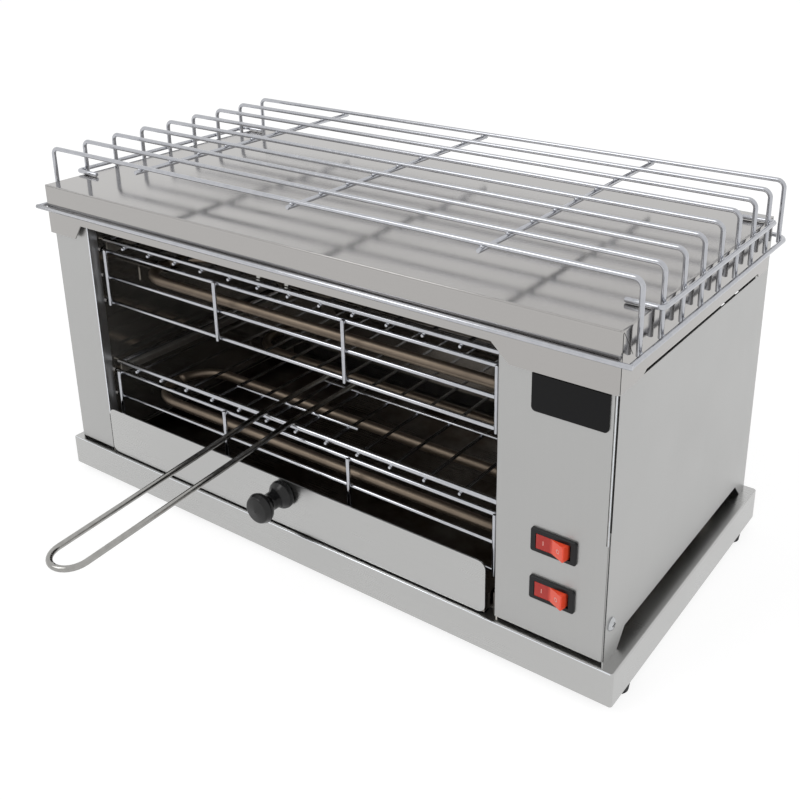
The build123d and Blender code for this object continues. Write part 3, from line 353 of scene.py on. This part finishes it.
def growing_tree(name, sizes):
    """Starts a geometry tree with its inputs, each a name, a kind and a value."""
    tree = bpy.data.node_groups.new(name, "GeometryNodeTree")
    for label, kind, value in sizes:
        made = tree.interface.new_socket(label, in_out="INPUT", socket_type="NodeSocket" + kind)
        if value:
            made.default_value = value
    tree.interface.new_socket("Result", in_out="OUTPUT", socket_type="NodeSocketGeometry")
    return tree


welded_wire = growing_tree(
    "welded_wire",
    (
        ("Route", "Geometry", None),
        ("Bend Points", "Int", 8),
        ("Sides", "Int", 18),
        ("Bead Detail", "Int", 2),
        ("Finish", "Material", None),
    ),
)
wire_in = add(welded_wire, "NodeGroupInput")
thickness, bend, is_weld, bead_size = (
    add(welded_wire, "GeometryNodeInputNamedAttribute", {"data_type": kind, "Name": label})
    for label, kind in (
        ("thickness", "FLOAT"),
        ("bend", "FLOAT"),
        ("is_weld", "BOOLEAN"),
        ("bead_size", "FLOAT_VECTOR"),
    )
)
centre_line = add(welded_wire, "GeometryNodeMeshToCurve", Mesh=wire_in.outputs["Route"])
bent_line = add(
    welded_wire,
    "GeometryNodeFilletCurve",
    {"mode": "POLY", "Limit Radius": True},
    Curve=centre_line.outputs[0],
    Count=wire_in.outputs["Bend Points"],
    Radius=bend.outputs["Attribute"],
)
section = add(
    welded_wire,
    "GeometryNodeCurvePrimitiveCircle",
    {"Radius": 1.0},
    Resolution=wire_in.outputs["Sides"],
)
drawn_wire = add(
    welded_wire,
    "GeometryNodeCurveToMesh",
    {"Fill Caps": True},
    Curve=bent_line.outputs[0],
    Profile_Curve=section.outputs["Curve"],
    Scale=thickness.outputs["Attribute"],
)
clean_wire = add(
    welded_wire,
    "GeometryNodeMergeByDistance",
    {"Distance": 0.000001},
    Geometry=drawn_wire.outputs[0],
)
bead = add(
    welded_wire,
    "GeometryNodeMeshIcoSphere",
    {"Radius": 1.0},
    Subdivisions=wire_in.outputs["Bead Detail"],
)
beads = add(
    welded_wire,
    "GeometryNodeInstanceOnPoints",
    Points=wire_in.outputs["Route"],
    Selection=is_weld.outputs["Attribute"],
    Instance=bead.outputs["Mesh"],
    Scale=bead_size.outputs["Attribute"],
)
wire_and_beads = add(welded_wire, "GeometryNodeJoinGeometry")
welded_wire.links.new(clean_wire.outputs[0], wire_and_beads.inputs[0])
welded_wire.links.new(beads.outputs[0], wire_and_beads.inputs[0])
smooth_wire = add(
    welded_wire, "GeometryNodeSetShadeSmooth", Geometry=wire_and_beads.outputs[0]
)
real_wire = add(welded_wire, "GeometryNodeRealizeInstances", Geometry=smooth_wire.outputs[0])
plated_wire = add(
    welded_wire,
    "GeometryNodeSetMaterial",
    Geometry=real_wire.outputs[0],
    Material=wire_in.outputs["Finish"],
)
wire_out = add(welded_wire, "NodeGroupOutput")
welded_wire.links.new(plated_wire.outputs[0], wire_out.inputs[0])


def grown(name, mesh, tree, settings):
    """Runs a node tree on a mesh and keeps the result as one plain mesh object."""
    piece = bpy.data.objects.new(name, mesh)
    scene.collection.objects.link(piece)
    growth = piece.modifiers.new("growth", "NODES")
    growth.node_group = tree
    for item in tree.interface.items_tree:
        if item.in_out == "INPUT" and item.name in settings:
            growth[item.identifier] = settings[item.name]
    solid = bpy.data.meshes.new_from_object(
        piece.evaluated_get(bpy.context.evaluated_depsgraph_get())
    )
    piece.modifiers.clear()
    piece.data = solid
    return piece


def wire(name, body, rods, welds=(), material=chrome, sides=18, nodes=()):
    """Makes one welded wire piece. A rod is (diameter, bend radius, points) and a weld is
    (x, y, z, half widths), all in millimetres. Rod ends are slightly rounded."""
    lip_share = 0.15
    end_width = 0.78
    places, links, radii, bends, flags, sizes = [], [], [], [], [], []
    for diameter, bend_radius, points in rods:
        line = [Vector(p) / 1000 for p in points]
        lip = lip_share * diameter / 1000
        line.insert(1, line[0] + (line[1] - line[0]).normalized() * lip)
        line.insert(-1, line[-1] + (line[-2] - line[-1]).normalized() * lip)
        first = len(places)
        for i, place in enumerate(line):
            at_end = i in (0, len(line) - 1)
            places.append(place)
            radii.append(diameter / 2000 * (end_width if at_end else 1.0))
            bends.append(bend_radius / 1000 if 1 < i < len(line) - 2 else 0.0)
            flags.append(False)
            sizes.append((0.0, 0.0, 0.0))
        links += [(i, i + 1) for i in range(first, len(places) - 1)]
    for x, y, z, half_widths in welds:
        places.append(Vector((x, y, z)) / 1000)
        radii.append(0.0)
        bends.append(0.0)
        flags.append(True)
        sizes.append([half / 1000 for half in half_widths])
    route = bpy.data.meshes.new(name)
    route.from_pydata(places, links, [])
    for label, kind, field, values in (
        ("thickness", "FLOAT", "value", radii),
        ("bend", "FLOAT", "value", bends),
        ("is_weld", "BOOLEAN", "value", flags),
        ("bead_size", "FLOAT_VECTOR", "vector", [v for size in sizes for v in size]),
    ):
        route.attributes.new(label, kind, "POINT").data.foreach_set(field, values)
    piece = grown(
        name,
        route,
        welded_wire,
        {"Bend Points": 8, "Sides": sides, "Bead Detail": 2, "Finish": material},
    )
    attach(piece, body)
    if nodes:
        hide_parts(*nodes)
    return piece


guard_y = -111.5
guard_d = 3.2
guard_left = -218.0
guard_right = 179.0
guard_pitch = 22.0
guard_weld = (1.7, 1.1, 1.7)
weld_sink = 0.3
tie_y = guard_y - guard_d + weld_sink
tie_xs = (-204.0, -81.0, 42.0, 165.0)
for level, top in (("lower", 104.0), ("upper", 210.5)):
    guard_zs = [top - guard_pitch * i for i in range(3)]
    tie_low = guard_zs[-1] - guard_d / 2
    tie_high = top + guard_d / 2
    wire(
        level + "_guard_wire",
        "casing",
        [(guard_d, 0, [(guard_left, guard_y, z), (guard_right, guard_y, z)]) for z in guard_zs]
        + [(guard_d, 0, [(x, tie_y, tie_low), (x, tie_y, tie_high)]) for x in tie_xs],
        [(x, (guard_y + tie_y) / 2, z, guard_weld) for x in tie_xs for z in guard_zs],
        nodes=[level + "_guard"],
    )

# Heating elements: two hairpins of 8 mm steel-sheathed bar at each level, bent round at
# the left. Use has oxidised the sheath to a dull brown with darker patches.
sheath = mottled(
    "oxidised_steel_sheath",
    22.2,
    {"Metallic": 0.85, "Roughness": 0.42},
    tones=("#60554B", "#897C6D"),
    relief={"Strength": 0.15, "Distance": 0.0001},
    Detail=4.0,
    Roughness=0.65,
)
sheath_d = 8.0
hairpin_width = 60.0
hairpin_left = -184.0
hairpin_right = 193.0
for level, z in (("lower", 85.0), ("upper", 191.5)):
    wire(
        level + "_element_hairpins",
        "casing",
        [
            (
                sheath_d,
                hairpin_width / 2,
                [
                    (hairpin_right, y, z),
                    (hairpin_left, y, z),
                    (hairpin_left, y + hairpin_width, z),
                    (hairpin_right, y + hairpin_width, z),
                ],
            )
            for y in (-100.5, 19.5)
        ],
        material=sheath,
        sides=24,
        nodes=[level + "_heating_elements"],
    )
dress(zinc, "element_fittings", "element_nuts", "element_studs")

# Grids: a frame of 4 mm steel rod with twelve 2.5 mm wires welded under it from front to
# back, all chrome plated. The lower grid has three short stiffening rods on its wires.
frame_d = 4.0
cross_d = 2.5
frame_left = -206.5
frame_right = 167.5
side_rod_xs = (-203.5, 164.5)
grid_front = guard_y
grid_back = 88.0
cross_front = grid_front - 2.8
cross_back = grid_back + 3.0
cross_drop = (frame_d + cross_d) / 2 - weld_sink
cross_weld = (1.5, 1.7, 1.1)
wire_xs = [-182.0 + 29.0 * i for i in range(12)]
stiffeners = ((-93, 30, -87.5), (-47, 137, -41.5), (-99, -8, -28.0))
for level, z in (("lower", 113.5), ("upper", 220.0)):
    low_z = z - cross_drop
    rods = [
        (frame_d, 0, [(frame_left, y, z), (frame_right, y, z)]) for y in (grid_front, grid_back)
    ]
    rods += [(frame_d, 0, [(x, grid_front, z), (x, grid_back, z)]) for x in side_rod_xs]
    rods += [(cross_d, 0, [(x, cross_front, low_z), (x, cross_back, low_z)]) for x in wire_xs]
    if level == "lower":
        over_z = low_z + cross_d - weld_sink
        rods += [(cross_d, 0, [(x0, y, over_z), (x1, y, over_z)]) for x0, x1, y in stiffeners]
    wire(
        level + "_grid_wire",
        level + "_grid",
        rods,
        [(x, y, z - 1.9, cross_weld) for x in wire_xs for y in (grid_front, grid_back)],
        sides=14,
        nodes=[level + "_grid"],
    )

# Handle: one 4.2 mm rod bent to a long loop and welded on the lower grid's front rod. It
# dips towards its tip, and its plating has dulled to a neutral grey with use. Two short
# rods of the same wire lie on the upper grid and end at its front rod.
worn_chrome = mottled(
    "worn_chrome_plated_rod",
    3.85,
    {"Metallic": 1.0},
    tones=("#8D8C89", "#ADACA9"),
    rough={"To Min": 0.08, "To Max": 0.22},
    Detail=3.0,
)
handle_d = 4.2
handle_xs = (-38.5, -11.5)
handle_turn = 13.5
handle_back = -36.5
handle_z = 117.6
handle_tip_y = -308.45
tip_z = handle_z - 14.0
handle_weld = (2.0, 2.0, 1.1)
stub_z = 224.1
stub_front = grid_front + 1.0
stub_back = grid_front + 55.0
stub_weld = (2.2, 1.8, 1.3)
wire(
    "grid_handle_loop",
    "lower_grid",
    [
        (
            handle_d,
            handle_turn,
            [
                (handle_xs[0], handle_back, handle_z),
                (handle_xs[0], grid_front, handle_z),
                (handle_xs[0], handle_tip_y, tip_z),
                (handle_xs[1], handle_tip_y, tip_z),
                (handle_xs[1], grid_front, handle_z),
                (handle_xs[1], handle_back, handle_z),
            ],
        )
    ],
    [(x, grid_front, handle_z - 2.0, handle_weld) for x in handle_xs],
    material=worn_chrome,
    sides=24,
    nodes=["grid_handle"],
)
wire(
    "upper_grid_stub_rods",
    "upper_grid",
    [(handle_d, 0, [(x, stub_front, stub_z), (x, stub_back, stub_z)]) for x in handle_xs],
    [(x, stub_front + 0.5, stub_z - 2.0, stub_weld) for x in handle_xs],
    material=worn_chrome,
    sides=24,
    nodes=["upper_grid_stubs"],
)

# Crumb tray: a shallow pan folded from sheet, with a taller front that closes the bottom
# of the opening. Behind its front, heat and crumbs have browned it in patches. The knob
# screwed to it is turned from black phenolic plastic and has a soft gloss.
browned_steel = long_ground.copy()
browned_steel.name = "heat_browned_ground_stainless"
pan_tree = browned_steel.node_tree
pan_place = add(pan_tree, "ShaderNodeTexCoord")
pan_patch = add(
    pan_tree,
    "ShaderNodeTexNoise",
    {"Scale": 1 / 0.0455, "Detail": 4.0, "Roughness": 0.6},
    Vector=pan_place.outputs["Object"],
)
pan_inwards = add(pan_tree, "ShaderNodeSeparateXYZ", Vector=pan_place.outputs["Object"])
pan_inside = add(
    pan_tree,
    "ShaderNodeMapRange",
    {"From Min": -0.1238, "From Max": -0.1232},
    Value=pan_inwards.outputs["Y"],
)
pan_depth = add(
    pan_tree,
    "ShaderNodeMapRange",
    {"From Min": 0.35, "From Max": 0.65, "To Min": 0.7, "To Max": 1.0},
    Value=pan_patch.outputs["Fac"],
)
pan_amount = add(
    pan_tree,
    "ShaderNodeMath",
    {"operation": "MULTIPLY"},
    i0=pan_inside.outputs[0],
    i1=pan_depth.outputs[0],
)
pan_shader = next(node for node in pan_tree.nodes if node.type == "BSDF_PRINCIPLED")
pan_tone = add(pan_tree, "ShaderNodeMix", {"data_type": "RGBA"}, i0=pan_amount.outputs[0])
pan_tone.inputs[7].default_value = linear("#4B4138")
pan_tree.links.new(pan_shader.inputs["Base Color"].links[0].from_socket, pan_tone.inputs[6])
pan_tree.links.new(pan_tone.outputs[2], pan_shader.inputs["Base Color"])
dress(browned_steel, "crumb_tray")
phenolic = mottled(
    "turned_black_phenolic",
    2.0,
    {"Base Color": linear("#101011"), "Specular IOR Level": 0.35},
    rough={"To Min": 0.16, "To Max": 0.3},
    Detail=2.0,
)
dress(phenolic, "tray_knob")
dress(zinc, "tray_knob_screw")

# Cover: a shallow folded lid of polished stainless sheet. It mirrors the rack above it as
# soft dark lines, and its front edge is hemmed, which leaves a thin double line there.
polished = ground_steel("polished_stainless", "#ABA9A7", 0, 0.12)
dress(polished, "top_cover")
hem_d = 1.1
wire(
    "cover_front_hem",
    "casing",
    [(hem_d, 0, [(-251.0, -127.35, 261.25), (251.0, -127.35, 261.25)])],
    material=polished,
    sides=12,
)

# Painted shade in the sheet's joints: thin dark strips stand in for the shade in the open
# corner of the skirt, the fold beside it and the gaps beside the tray and the control panel.
# The strips are 0.4 to 1.2 mm wide.
painted_joint_shade = mottled(
    "shadowed_joint",
    1.11,
    {"Roughness": 0.9, "Specular IOR Level": 0.1},
    tones=("#1C1C1C", "#333332"),
    Detail=1.0,
)
# A thin dark strip beside the tray's left edge is painted shade.
wire(
    "tray_edge_line",
    "crumb_tray",
    [(0.5, 0, [(-209.45, -124.45, 35.5), (-209.45, -124.45, 68.5)])],
    material=painted_joint_shade,
    sides=8,
)
skirt_bottom = 221.5
# Dark strips in the skirt's corner and beside the control panel are painted shade.
wire(
    "sheet_joint_lines",
    "casing",
    [
        (0.5, 0, [(248.6, -123.4, 120.0), (248.6, -123.4, skirt_bottom)]),
        (0.8, 0, [(250.7, -123.2, 36.0), (250.7, -123.2, 150.0)]),
        (1.2, 0, [(250.6, -123.1, 130.0), (250.6, -123.1, skirt_bottom)]),
        (0.5, 0, [(252.35, -126.4, 222.5), (252.35, -126.4, 260.0)]),
        (0.4, 0, [(252.45, -125.9, 260.2), (252.45, -113.0, 242.5)]),
    ],
    material=painted_joint_shade,
    sides=8,
)

# Painted highlights on folds: thin strips of pale steel along the sharp folds beside the
# opening and the switches, and along the plinth's upper front fold, are painted highlights.
# The pale colour of these strips is a painted highlight.
fold_painted_highlight = ground_steel("painted_fold_highlight", "#E6E9EE", 2, 0.2)
wire(
    "rubbed_fold_lines",
    "casing",
    [
        (1.0, 0, [(-210.3, -123.3, 36.0), (-210.3, -123.3, 233.0)]),
        (0.8, 0, [(249.6, -123.3, 120.0), (249.6, -123.3, skirt_bottom)]),
        (0.8, 0, [(-258.0, -127.0, 32.5), (258.0, -127.0, 32.5)]),
    ],
    material=fold_painted_highlight,
    sides=12,
)

# Name plate: a thin metal plate under the skirt, glued to the control panel. It is
# enamelled black, with a faint orange peel, and left bare.
plate_enamel = mottled(
    "black_enamel",
    1.67,
    {"Base Color": linear("#08080A"), "Roughness": 0.25, "Specular IOR Level": 0.18},
    relief={"Strength": 0.08, "Distance": 0.0001},
    Detail=2.0,
)
dress(plate_enamel, "name_plate")

# Panel screws: zinc-plated steel with pan heads and a cross recess, struck by a punch. One
# is at the right and six hold the rear panel.
head_r = 4.5
head_h = 2.2
recess_width = 0.9
recess_length = 4.4
screw_mesh = bmesh.new()
profile = [
    (0.0, head_h),
    (1.8, head_h - 0.05),
    (3.0, head_h - 0.28),
    (3.8, head_h - 0.72),
    (4.3, head_h - 1.4),
    (head_r, 0.6),
    (head_r, 0.0),
    (0.0, 0.0),
]
profile_verts = [screw_mesh.verts.new((r / 1000, 0, z / 1000)) for r, z in profile]
for a, b in zip(profile_verts, profile_verts[1:]):
    screw_mesh.edges.new((a, b))
bmesh.ops.spin(
    screw_mesh,
    geom=screw_mesh.verts[:] + screw_mesh.edges[:],
    cent=(0, 0, 0),
    axis=(0, 0, 1),
    angle=2 * math.pi,
    steps=32,
    use_merge=True,
)
bmesh.ops.remove_doubles(screw_mesh, verts=screw_mesh.verts, dist=1e-7)
bmesh.ops.recalc_face_normals(screw_mesh, faces=screw_mesh.faces)
for face in screw_mesh.faces:
    face.smooth = True
head_data = bpy.data.meshes.new("pan_head_blank")
screw_mesh.to_mesh(head_data)
screw_mesh.free()
head_data.set_sharp_from_angle(angle=math.radians(40))
head_blank = bpy.data.objects.new("pan_head_blank", head_data)

cross_screws = growing_tree(
    "cross_recess_screws",
    (
        ("Places", "Geometry", None),
        ("Head", "Object", None),
        ("Head Height", "Float", head_h / 1000),
        ("Recess Width", "Float", recess_width / 1000),
        ("Recess Length", "Float", recess_length / 1000),
        ("Finish", "Material", None),
    ),
)
screws_in = add(cross_screws, "NodeGroupInput")
blank = add(cross_screws, "GeometryNodeObjectInfo", Object=screws_in.outputs["Head"])
slot_size = add(
    cross_screws,
    "ShaderNodeCombineXYZ",
    X=screws_in.outputs["Recess Length"],
    Y=screws_in.outputs["Recess Width"],
    Z=screws_in.outputs["Head Height"],
)
cross_size = add(
    cross_screws,
    "ShaderNodeCombineXYZ",
    X=screws_in.outputs["Recess Width"],
    Y=screws_in.outputs["Recess Length"],
    Z=screws_in.outputs["Head Height"],
)
recess_place = add(cross_screws, "ShaderNodeCombineXYZ", Z=screws_in.outputs["Head Height"])
recess_a = add(cross_screws, "GeometryNodeMeshCube", Size=slot_size.outputs[0])
recess_b = add(cross_screws, "GeometryNodeMeshCube", Size=cross_size.outputs[0])
cross = add(
    cross_screws, "GeometryNodeMeshBoolean", {"operation": "UNION", "solver": "EXACT"}
)
cross_screws.links.new(recess_a.outputs[0], cross.inputs[1])
cross_screws.links.new(recess_b.outputs[0], cross.inputs[1])
cross_up = add(
    cross_screws,
    "GeometryNodeTransform",
    Geometry=cross.outputs[0],
    Translation=recess_place.outputs[0],
)
struck = add(
    cross_screws,
    "GeometryNodeMeshBoolean",
    {"operation": "DIFFERENCE", "solver": "EXACT"},
    i0=blank.outputs["Geometry"],
    i1=cross_up.outputs[0],
)
clean_head = add(
    cross_screws,
    "GeometryNodeMergeByDistance",
    {"Distance": 0.000001},
    Geometry=struck.outputs[0],
)
outward = add(
    cross_screws,
    "GeometryNodeInputNamedAttribute",
    {"data_type": "FLOAT_VECTOR", "Name": "outward"},
)
facing = add(
    cross_screws,
    "FunctionNodeAlignRotationToVector",
    {"axis": "Z"},
    Vector=outward.outputs["Attribute"],
)
set_screws = add(
    cross_screws,
    "GeometryNodeInstanceOnPoints",
    Points=screws_in.outputs["Places"],
    Instance=clean_head.outputs[0],
    Rotation=facing.outputs[0],
)
real_screws = add(cross_screws, "GeometryNodeRealizeInstances", Geometry=set_screws.outputs[0])
plated_screws = add(
    cross_screws,
    "GeometryNodeSetMaterial",
    Geometry=real_screws.outputs[0],
    Material=screws_in.outputs["Finish"],
)
screws_out = add(cross_screws, "NodeGroupOutput")
cross_screws.links.new(plated_screws.outputs[0], screws_out.inputs[0])

side_face_x = 251.0
rear_face_y = 122.5
screw_places = [((side_face_x, -115.5, 60.0), (1.0, 0.0, 0.0))]
for x in (-242.5, 242.5):
    for z in (60.0, 147.5, 235.0):
        screw_places.append(((x, rear_face_y, z), (0.0, 1.0, 0.0)))
screw_points = bpy.data.meshes.new("panel_screw_heads")
screw_points.from_pydata([Vector(place) / 1000 for place, _ in screw_places], [], [])
screw_points.attributes.new("outward", "FLOAT_VECTOR", "POINT").data.foreach_set(
    "vector", [v for _, way in screw_places for v in way]
)
screw_heads = grown(
    "panel_screw_heads",
    screw_points,
    cross_screws,
    {
        "Head": head_blank,
        "Head Height": head_h / 1000,
        "Recess Width": recess_width / 1000,
        "Recess Length": recess_length / 1000,
        "Finish": zinc,
    },
)
# The boolean lists points and faces in another order on each run, so they are sorted.
in_order = bmesh.new()
in_order.from_mesh(screw_heads.data)
for rank, point in enumerate(sorted(in_order.verts, key=lambda point: tuple(point.co))):
    point.index = rank
faces = sorted(in_order.faces, key=lambda face: sorted(point.index for point in face.verts))
for rank, face in enumerate(faces):
    face.index = rank
in_order.verts.sort()
in_order.faces.sort()
in_order.to_mesh(screw_heads.data)
in_order.free()
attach(screw_heads, "casing")
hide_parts("panel_screws")
bpy.data.objects.remove(head_blank)

# Switches: two rockers of glossy, slightly clear red plastic in satin black nylon bezels.
# Each is a shallow V with a bar on its left half and a ring on its right half. Its right
# half is painted a lighter red as painted light, and its left half a darker red as painted
# shade. The marks are filled with white paint, tinted by the red.
black_nylon = mottled(
    "moulded_black_nylon",
    0.4,
    {"Base Color": linear("#0E0F12"), "Roughness": 0.35, "Specular IOR Level": 0.3},
    relief={"Strength": 0.15, "Distance": 0.00005},
    Detail=2.0,
)
dress(
    black_nylon,
    "upper_switch_body",
    "lower_switch_body",
    "cable_gland",
    "gland_dome_nut",
    "gland_lock_nut",
)

red_plastic = new_material("moulded_red_polycarbonate")
red_place = add(red_plastic.node_tree, "ShaderNodeTexCoord")
red_flow = add(
    red_plastic.node_tree,
    "ShaderNodeTexNoise",
    {"Scale": 1 / 0.00556, "Detail": 2.0},
    Vector=red_place.outputs["Object"],
)
red_across = add(
    red_plastic.node_tree, "ShaderNodeSeparateXYZ", Vector=red_place.outputs["Object"]
)
# Painted light and shade: beyond x = 0.2138 m the rocker is painted a lighter red, before it a
# darker red.
red_painted_light_half = add(
    red_plastic.node_tree,
    "ShaderNodeMapRange",
    {"From Min": 0.2115, "From Max": 0.2145},
    Value=red_across.outputs["X"],
)
red_flow_and_painted_light = add(
    red_plastic.node_tree,
    "ShaderNodeMath",
    {"operation": "MULTIPLY_ADD"},
    i0=red_flow.outputs["Fac"],
    i2=red_painted_light_half.outputs[0],
)
red_flow_and_painted_light.inputs[1].default_value = 0.15
red_tone = add(
    red_plastic.node_tree, "ShaderNodeMix", {"data_type": "RGBA"}, i0=red_flow_and_painted_light.outputs[0]
)
red_tone.inputs[6].default_value = linear("#B41E15")
red_tone.inputs[7].default_value = linear("#FF5638")
red_shader = add(
    red_plastic.node_tree,
    "ShaderNodeBsdfPrincipled",
    {"Roughness": 0.22, "Subsurface Weight": 0.15, "Subsurface Scale": 0.002},
    Base_Color=red_tone.outputs[2],
)
add(red_plastic.node_tree, "ShaderNodeOutputMaterial", Surface=red_shader.outputs[0])

mark_paint = mottled(
    "white_mark_fill", 0.667, {"Roughness": 0.5}, tones=("#E59A90", "#F3BDB4"), Detail=2.0
)

rocker_turn = Matrix.Rotation(math.radians(-12.0), 4, "Z")
rocker_half = 10.8
rocker_rise = 2.4
rocker_middle = 3.4
mark_x = 5.9
mark_sink = 0.02
mark_lift = 0.06
bar_outline = [(-0.3, -1.5), (0.3, -1.5), (0.3, 1.5), (-0.3, 1.5)]
ring_sides = 32
ring_outlines = [
    [
        (r * math.cos(math.tau * i / ring_sides), r * math.sin(math.tau * i / ring_sides))
        for i in range(ring_sides)
    ]
    for r in (1.5, 1.0)
]
for level, rocker_z in (("upper", 106.8), ("lower", 71.5)):
    dress(red_plastic, level + "_rocker")
    pivot = Matrix.Translation((0.2138, -0.1221, rocker_z / 1000)) @ rocker_turn
    marks = bmesh.new()
    for half, loops in ((-1, [bar_outline]), (1, ring_outlines)):
        along = Vector((rocker_half, -rocker_rise * half, 0)).normalized()
        out = Vector((-rocker_rise * half, -rocker_half, 0)).normalized()
        depth = rocker_middle + mark_x * rocker_rise / rocker_half
        middle = Vector((mark_x * half, -depth, 0)) + out * mark_sink
        rings = []
        for loop in loops:
            for lift in (0.0, mark_lift):
                base = middle + out * lift
                rings.append(
                    [
                        marks.verts.new(pivot @ ((base + along * u + Vector((0, 0, v))) / 1000))
                        for u, v in loop
                    ]
                )
        if len(loops) == 1:
            marks.faces.new(rings[0])
            marks.faces.new(rings[1])
            pairs = [(0, 1)]
        else:
            pairs = [(0, 1), (2, 3), (0, 2), (1, 3)]
        for a, b in pairs:
            count = len(rings[a])
            for i in range(count):
                j = (i + 1) % count
                marks.faces.new((rings[a][i], rings[a][j], rings[b][j], rings[b][i]))
    bmesh.ops.recalc_face_normals(marks, faces=marks.faces)
    mark_mesh = bpy.data.meshes.new(level + "_rocker_marks")
    marks.to_mesh(mark_mesh)
    marks.free()
    mark_mesh.materials.append(mark_paint)
    mark_piece = bpy.data.objects.new(level + "_rocker_marks", mark_mesh)
    scene.collection.objects.link(mark_piece)
    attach(mark_piece, level + "_rocker")

# Switch compartment: yellow brass blade terminals and earth stud, a matt off-white ceramic
# terminal block and beads, and leads in woven glass sleeve, all behind the control panel.
brass = mottled(
    "bare_brass",
    3.33,
    {"Metallic": 1.0, "Roughness": 0.3},
    tones=("#B8974E", "#D3B56C"),
    Detail=3.0,
)
dress(brass, "switch_terminals", "earth_stud", "earth_nut")
dress(zinc, "terminal_screws")

ceramic = mottled(
    "unglazed_ceramic", 0.833, {"Roughness": 0.8}, tones=("#D8D2C4", "#EDE9DF"), Detail=3.0
)
dress(ceramic, "ceramic_beads", "terminal_block")

sleeve = new_material("woven_glass_sleeve")
sleeve_place = add(sleeve.node_tree, "ShaderNodeTexCoord")
sleeve_weave = add(
    sleeve.node_tree,
    "ShaderNodeTexChecker",
    {"Scale": 1 / 0.0006, "Color1": linear("#D9CFBB"), "Color2": linear("#BFB39A")},
    Vector=sleeve_place.outputs["Object"],
)
sleeve_relief = add(
    sleeve.node_tree,
    "ShaderNodeBump",
    {"Strength": 0.4, "Distance": 0.0001},
    Height=sleeve_weave.outputs["Fac"],
)
sleeve_shader = add(
    sleeve.node_tree,
    "ShaderNodeBsdfPrincipled",
    {"Roughness": 0.85},
    Base_Color=sleeve_weave.outputs["Color"],
    Normal=sleeve_relief.outputs[0],
)
add(sleeve.node_tree, "ShaderNodeOutputMaterial", Surface=sleeve_shader.outputs[0])
dress(sleeve, "internal_leads")

# Plate rack: nine bent chromed wires over the cover, welded to three cross rods below them,
# to a loop round the cover and to two side rails whose turned-in ends rest on the cover.
rack_d = 3.4
rack_ys = [-112.5 + 29.45 * i for i in range(9)]
leg_x = 255.7
rail_x = 259.1
rack_z = 287.6
loop_z = 243.0
rail_z = 263.5
rack_bend = 5.5
leg_z = loop_z - rack_d / 2
weld_xs = (-(leg_x + rail_x) / 2, (leg_x + rail_x) / 2)
side_weld = (1.2, 1.9, 1.9)
rail_bend = 3.6
rail_end_x = 235.1
rail_front = -89.75
rail_back = 100.35
loop_front = -129.3
loop_back = 134.5
loop_bend = 12.0
front_end_x = 260.79
cross_xs = (-152.0, 0.0, 152.0)
cross_z = rack_z - rack_d
cross_rack_weld = (2.1, 2.1, 1.3)
for part, first in (("front", 0), ("middle", 3), ("rear", 6)):
    part_ys = rack_ys[first : first + 3]
    wire(
        "rack_wires_" + part,
        "plate_rack",
        [
            (
                rack_d,
                rack_bend,
                [(-leg_x, y, leg_z), (-leg_x, y, rack_z), (leg_x, y, rack_z), (leg_x, y, leg_z)],
            )
            for y in part_ys
        ],
        [(x, y, rack_z - rack_d / 2, cross_rack_weld) for x in cross_xs for y in part_ys]
        + [(x, y, loop_z, side_weld) for x in weld_xs for y in part_ys]
        + [
            (x, y, rail_z, side_weld)
            for x in weld_xs
            for y in part_ys
            if rail_front < y < rail_back
        ],
        nodes=["rack_rods_" + part],
    )
wire(
    "rack_cross_wires",
    "plate_rack",
    [(rack_d, 0, [(x, -117.5, cross_z), (x, 128.1, cross_z)]) for x in cross_xs],
    nodes=["rack_cross_rods"],
)
wire(
    "rack_loop_wire",
    "plate_rack",
    [
        (rack_d, 0, [(-front_end_x, -130.7, loop_z), (front_end_x, -130.7, loop_z)]),
        (
            rack_d,
            loop_bend,
            [
                (-rail_x, loop_front, loop_z),
                (-rail_x, loop_back, loop_z),
                (rail_x, loop_back, loop_z),
                (rail_x, loop_front, loop_z),
            ],
        ),
    ],
    [(side * rail_x, loop_front + 0.1, loop_z, (1.68, 1.6, 1.9)) for side in (-1, 1)],
    nodes=["rack_loop"],
)
wire(
    "rack_rail_wires",
    "plate_rack",
    [
        (
            rack_d,
            rail_bend,
            [
                (side * rail_end_x, rail_front, rail_z),
                (side * rail_x, rail_front, rail_z),
                (side * rail_x, rail_back, rail_z),
                (side * rail_end_x, rail_back, rail_z),
            ],
        )
        for side in (-1, 1)
    ],
    nodes=["rack_side_rails"],
)
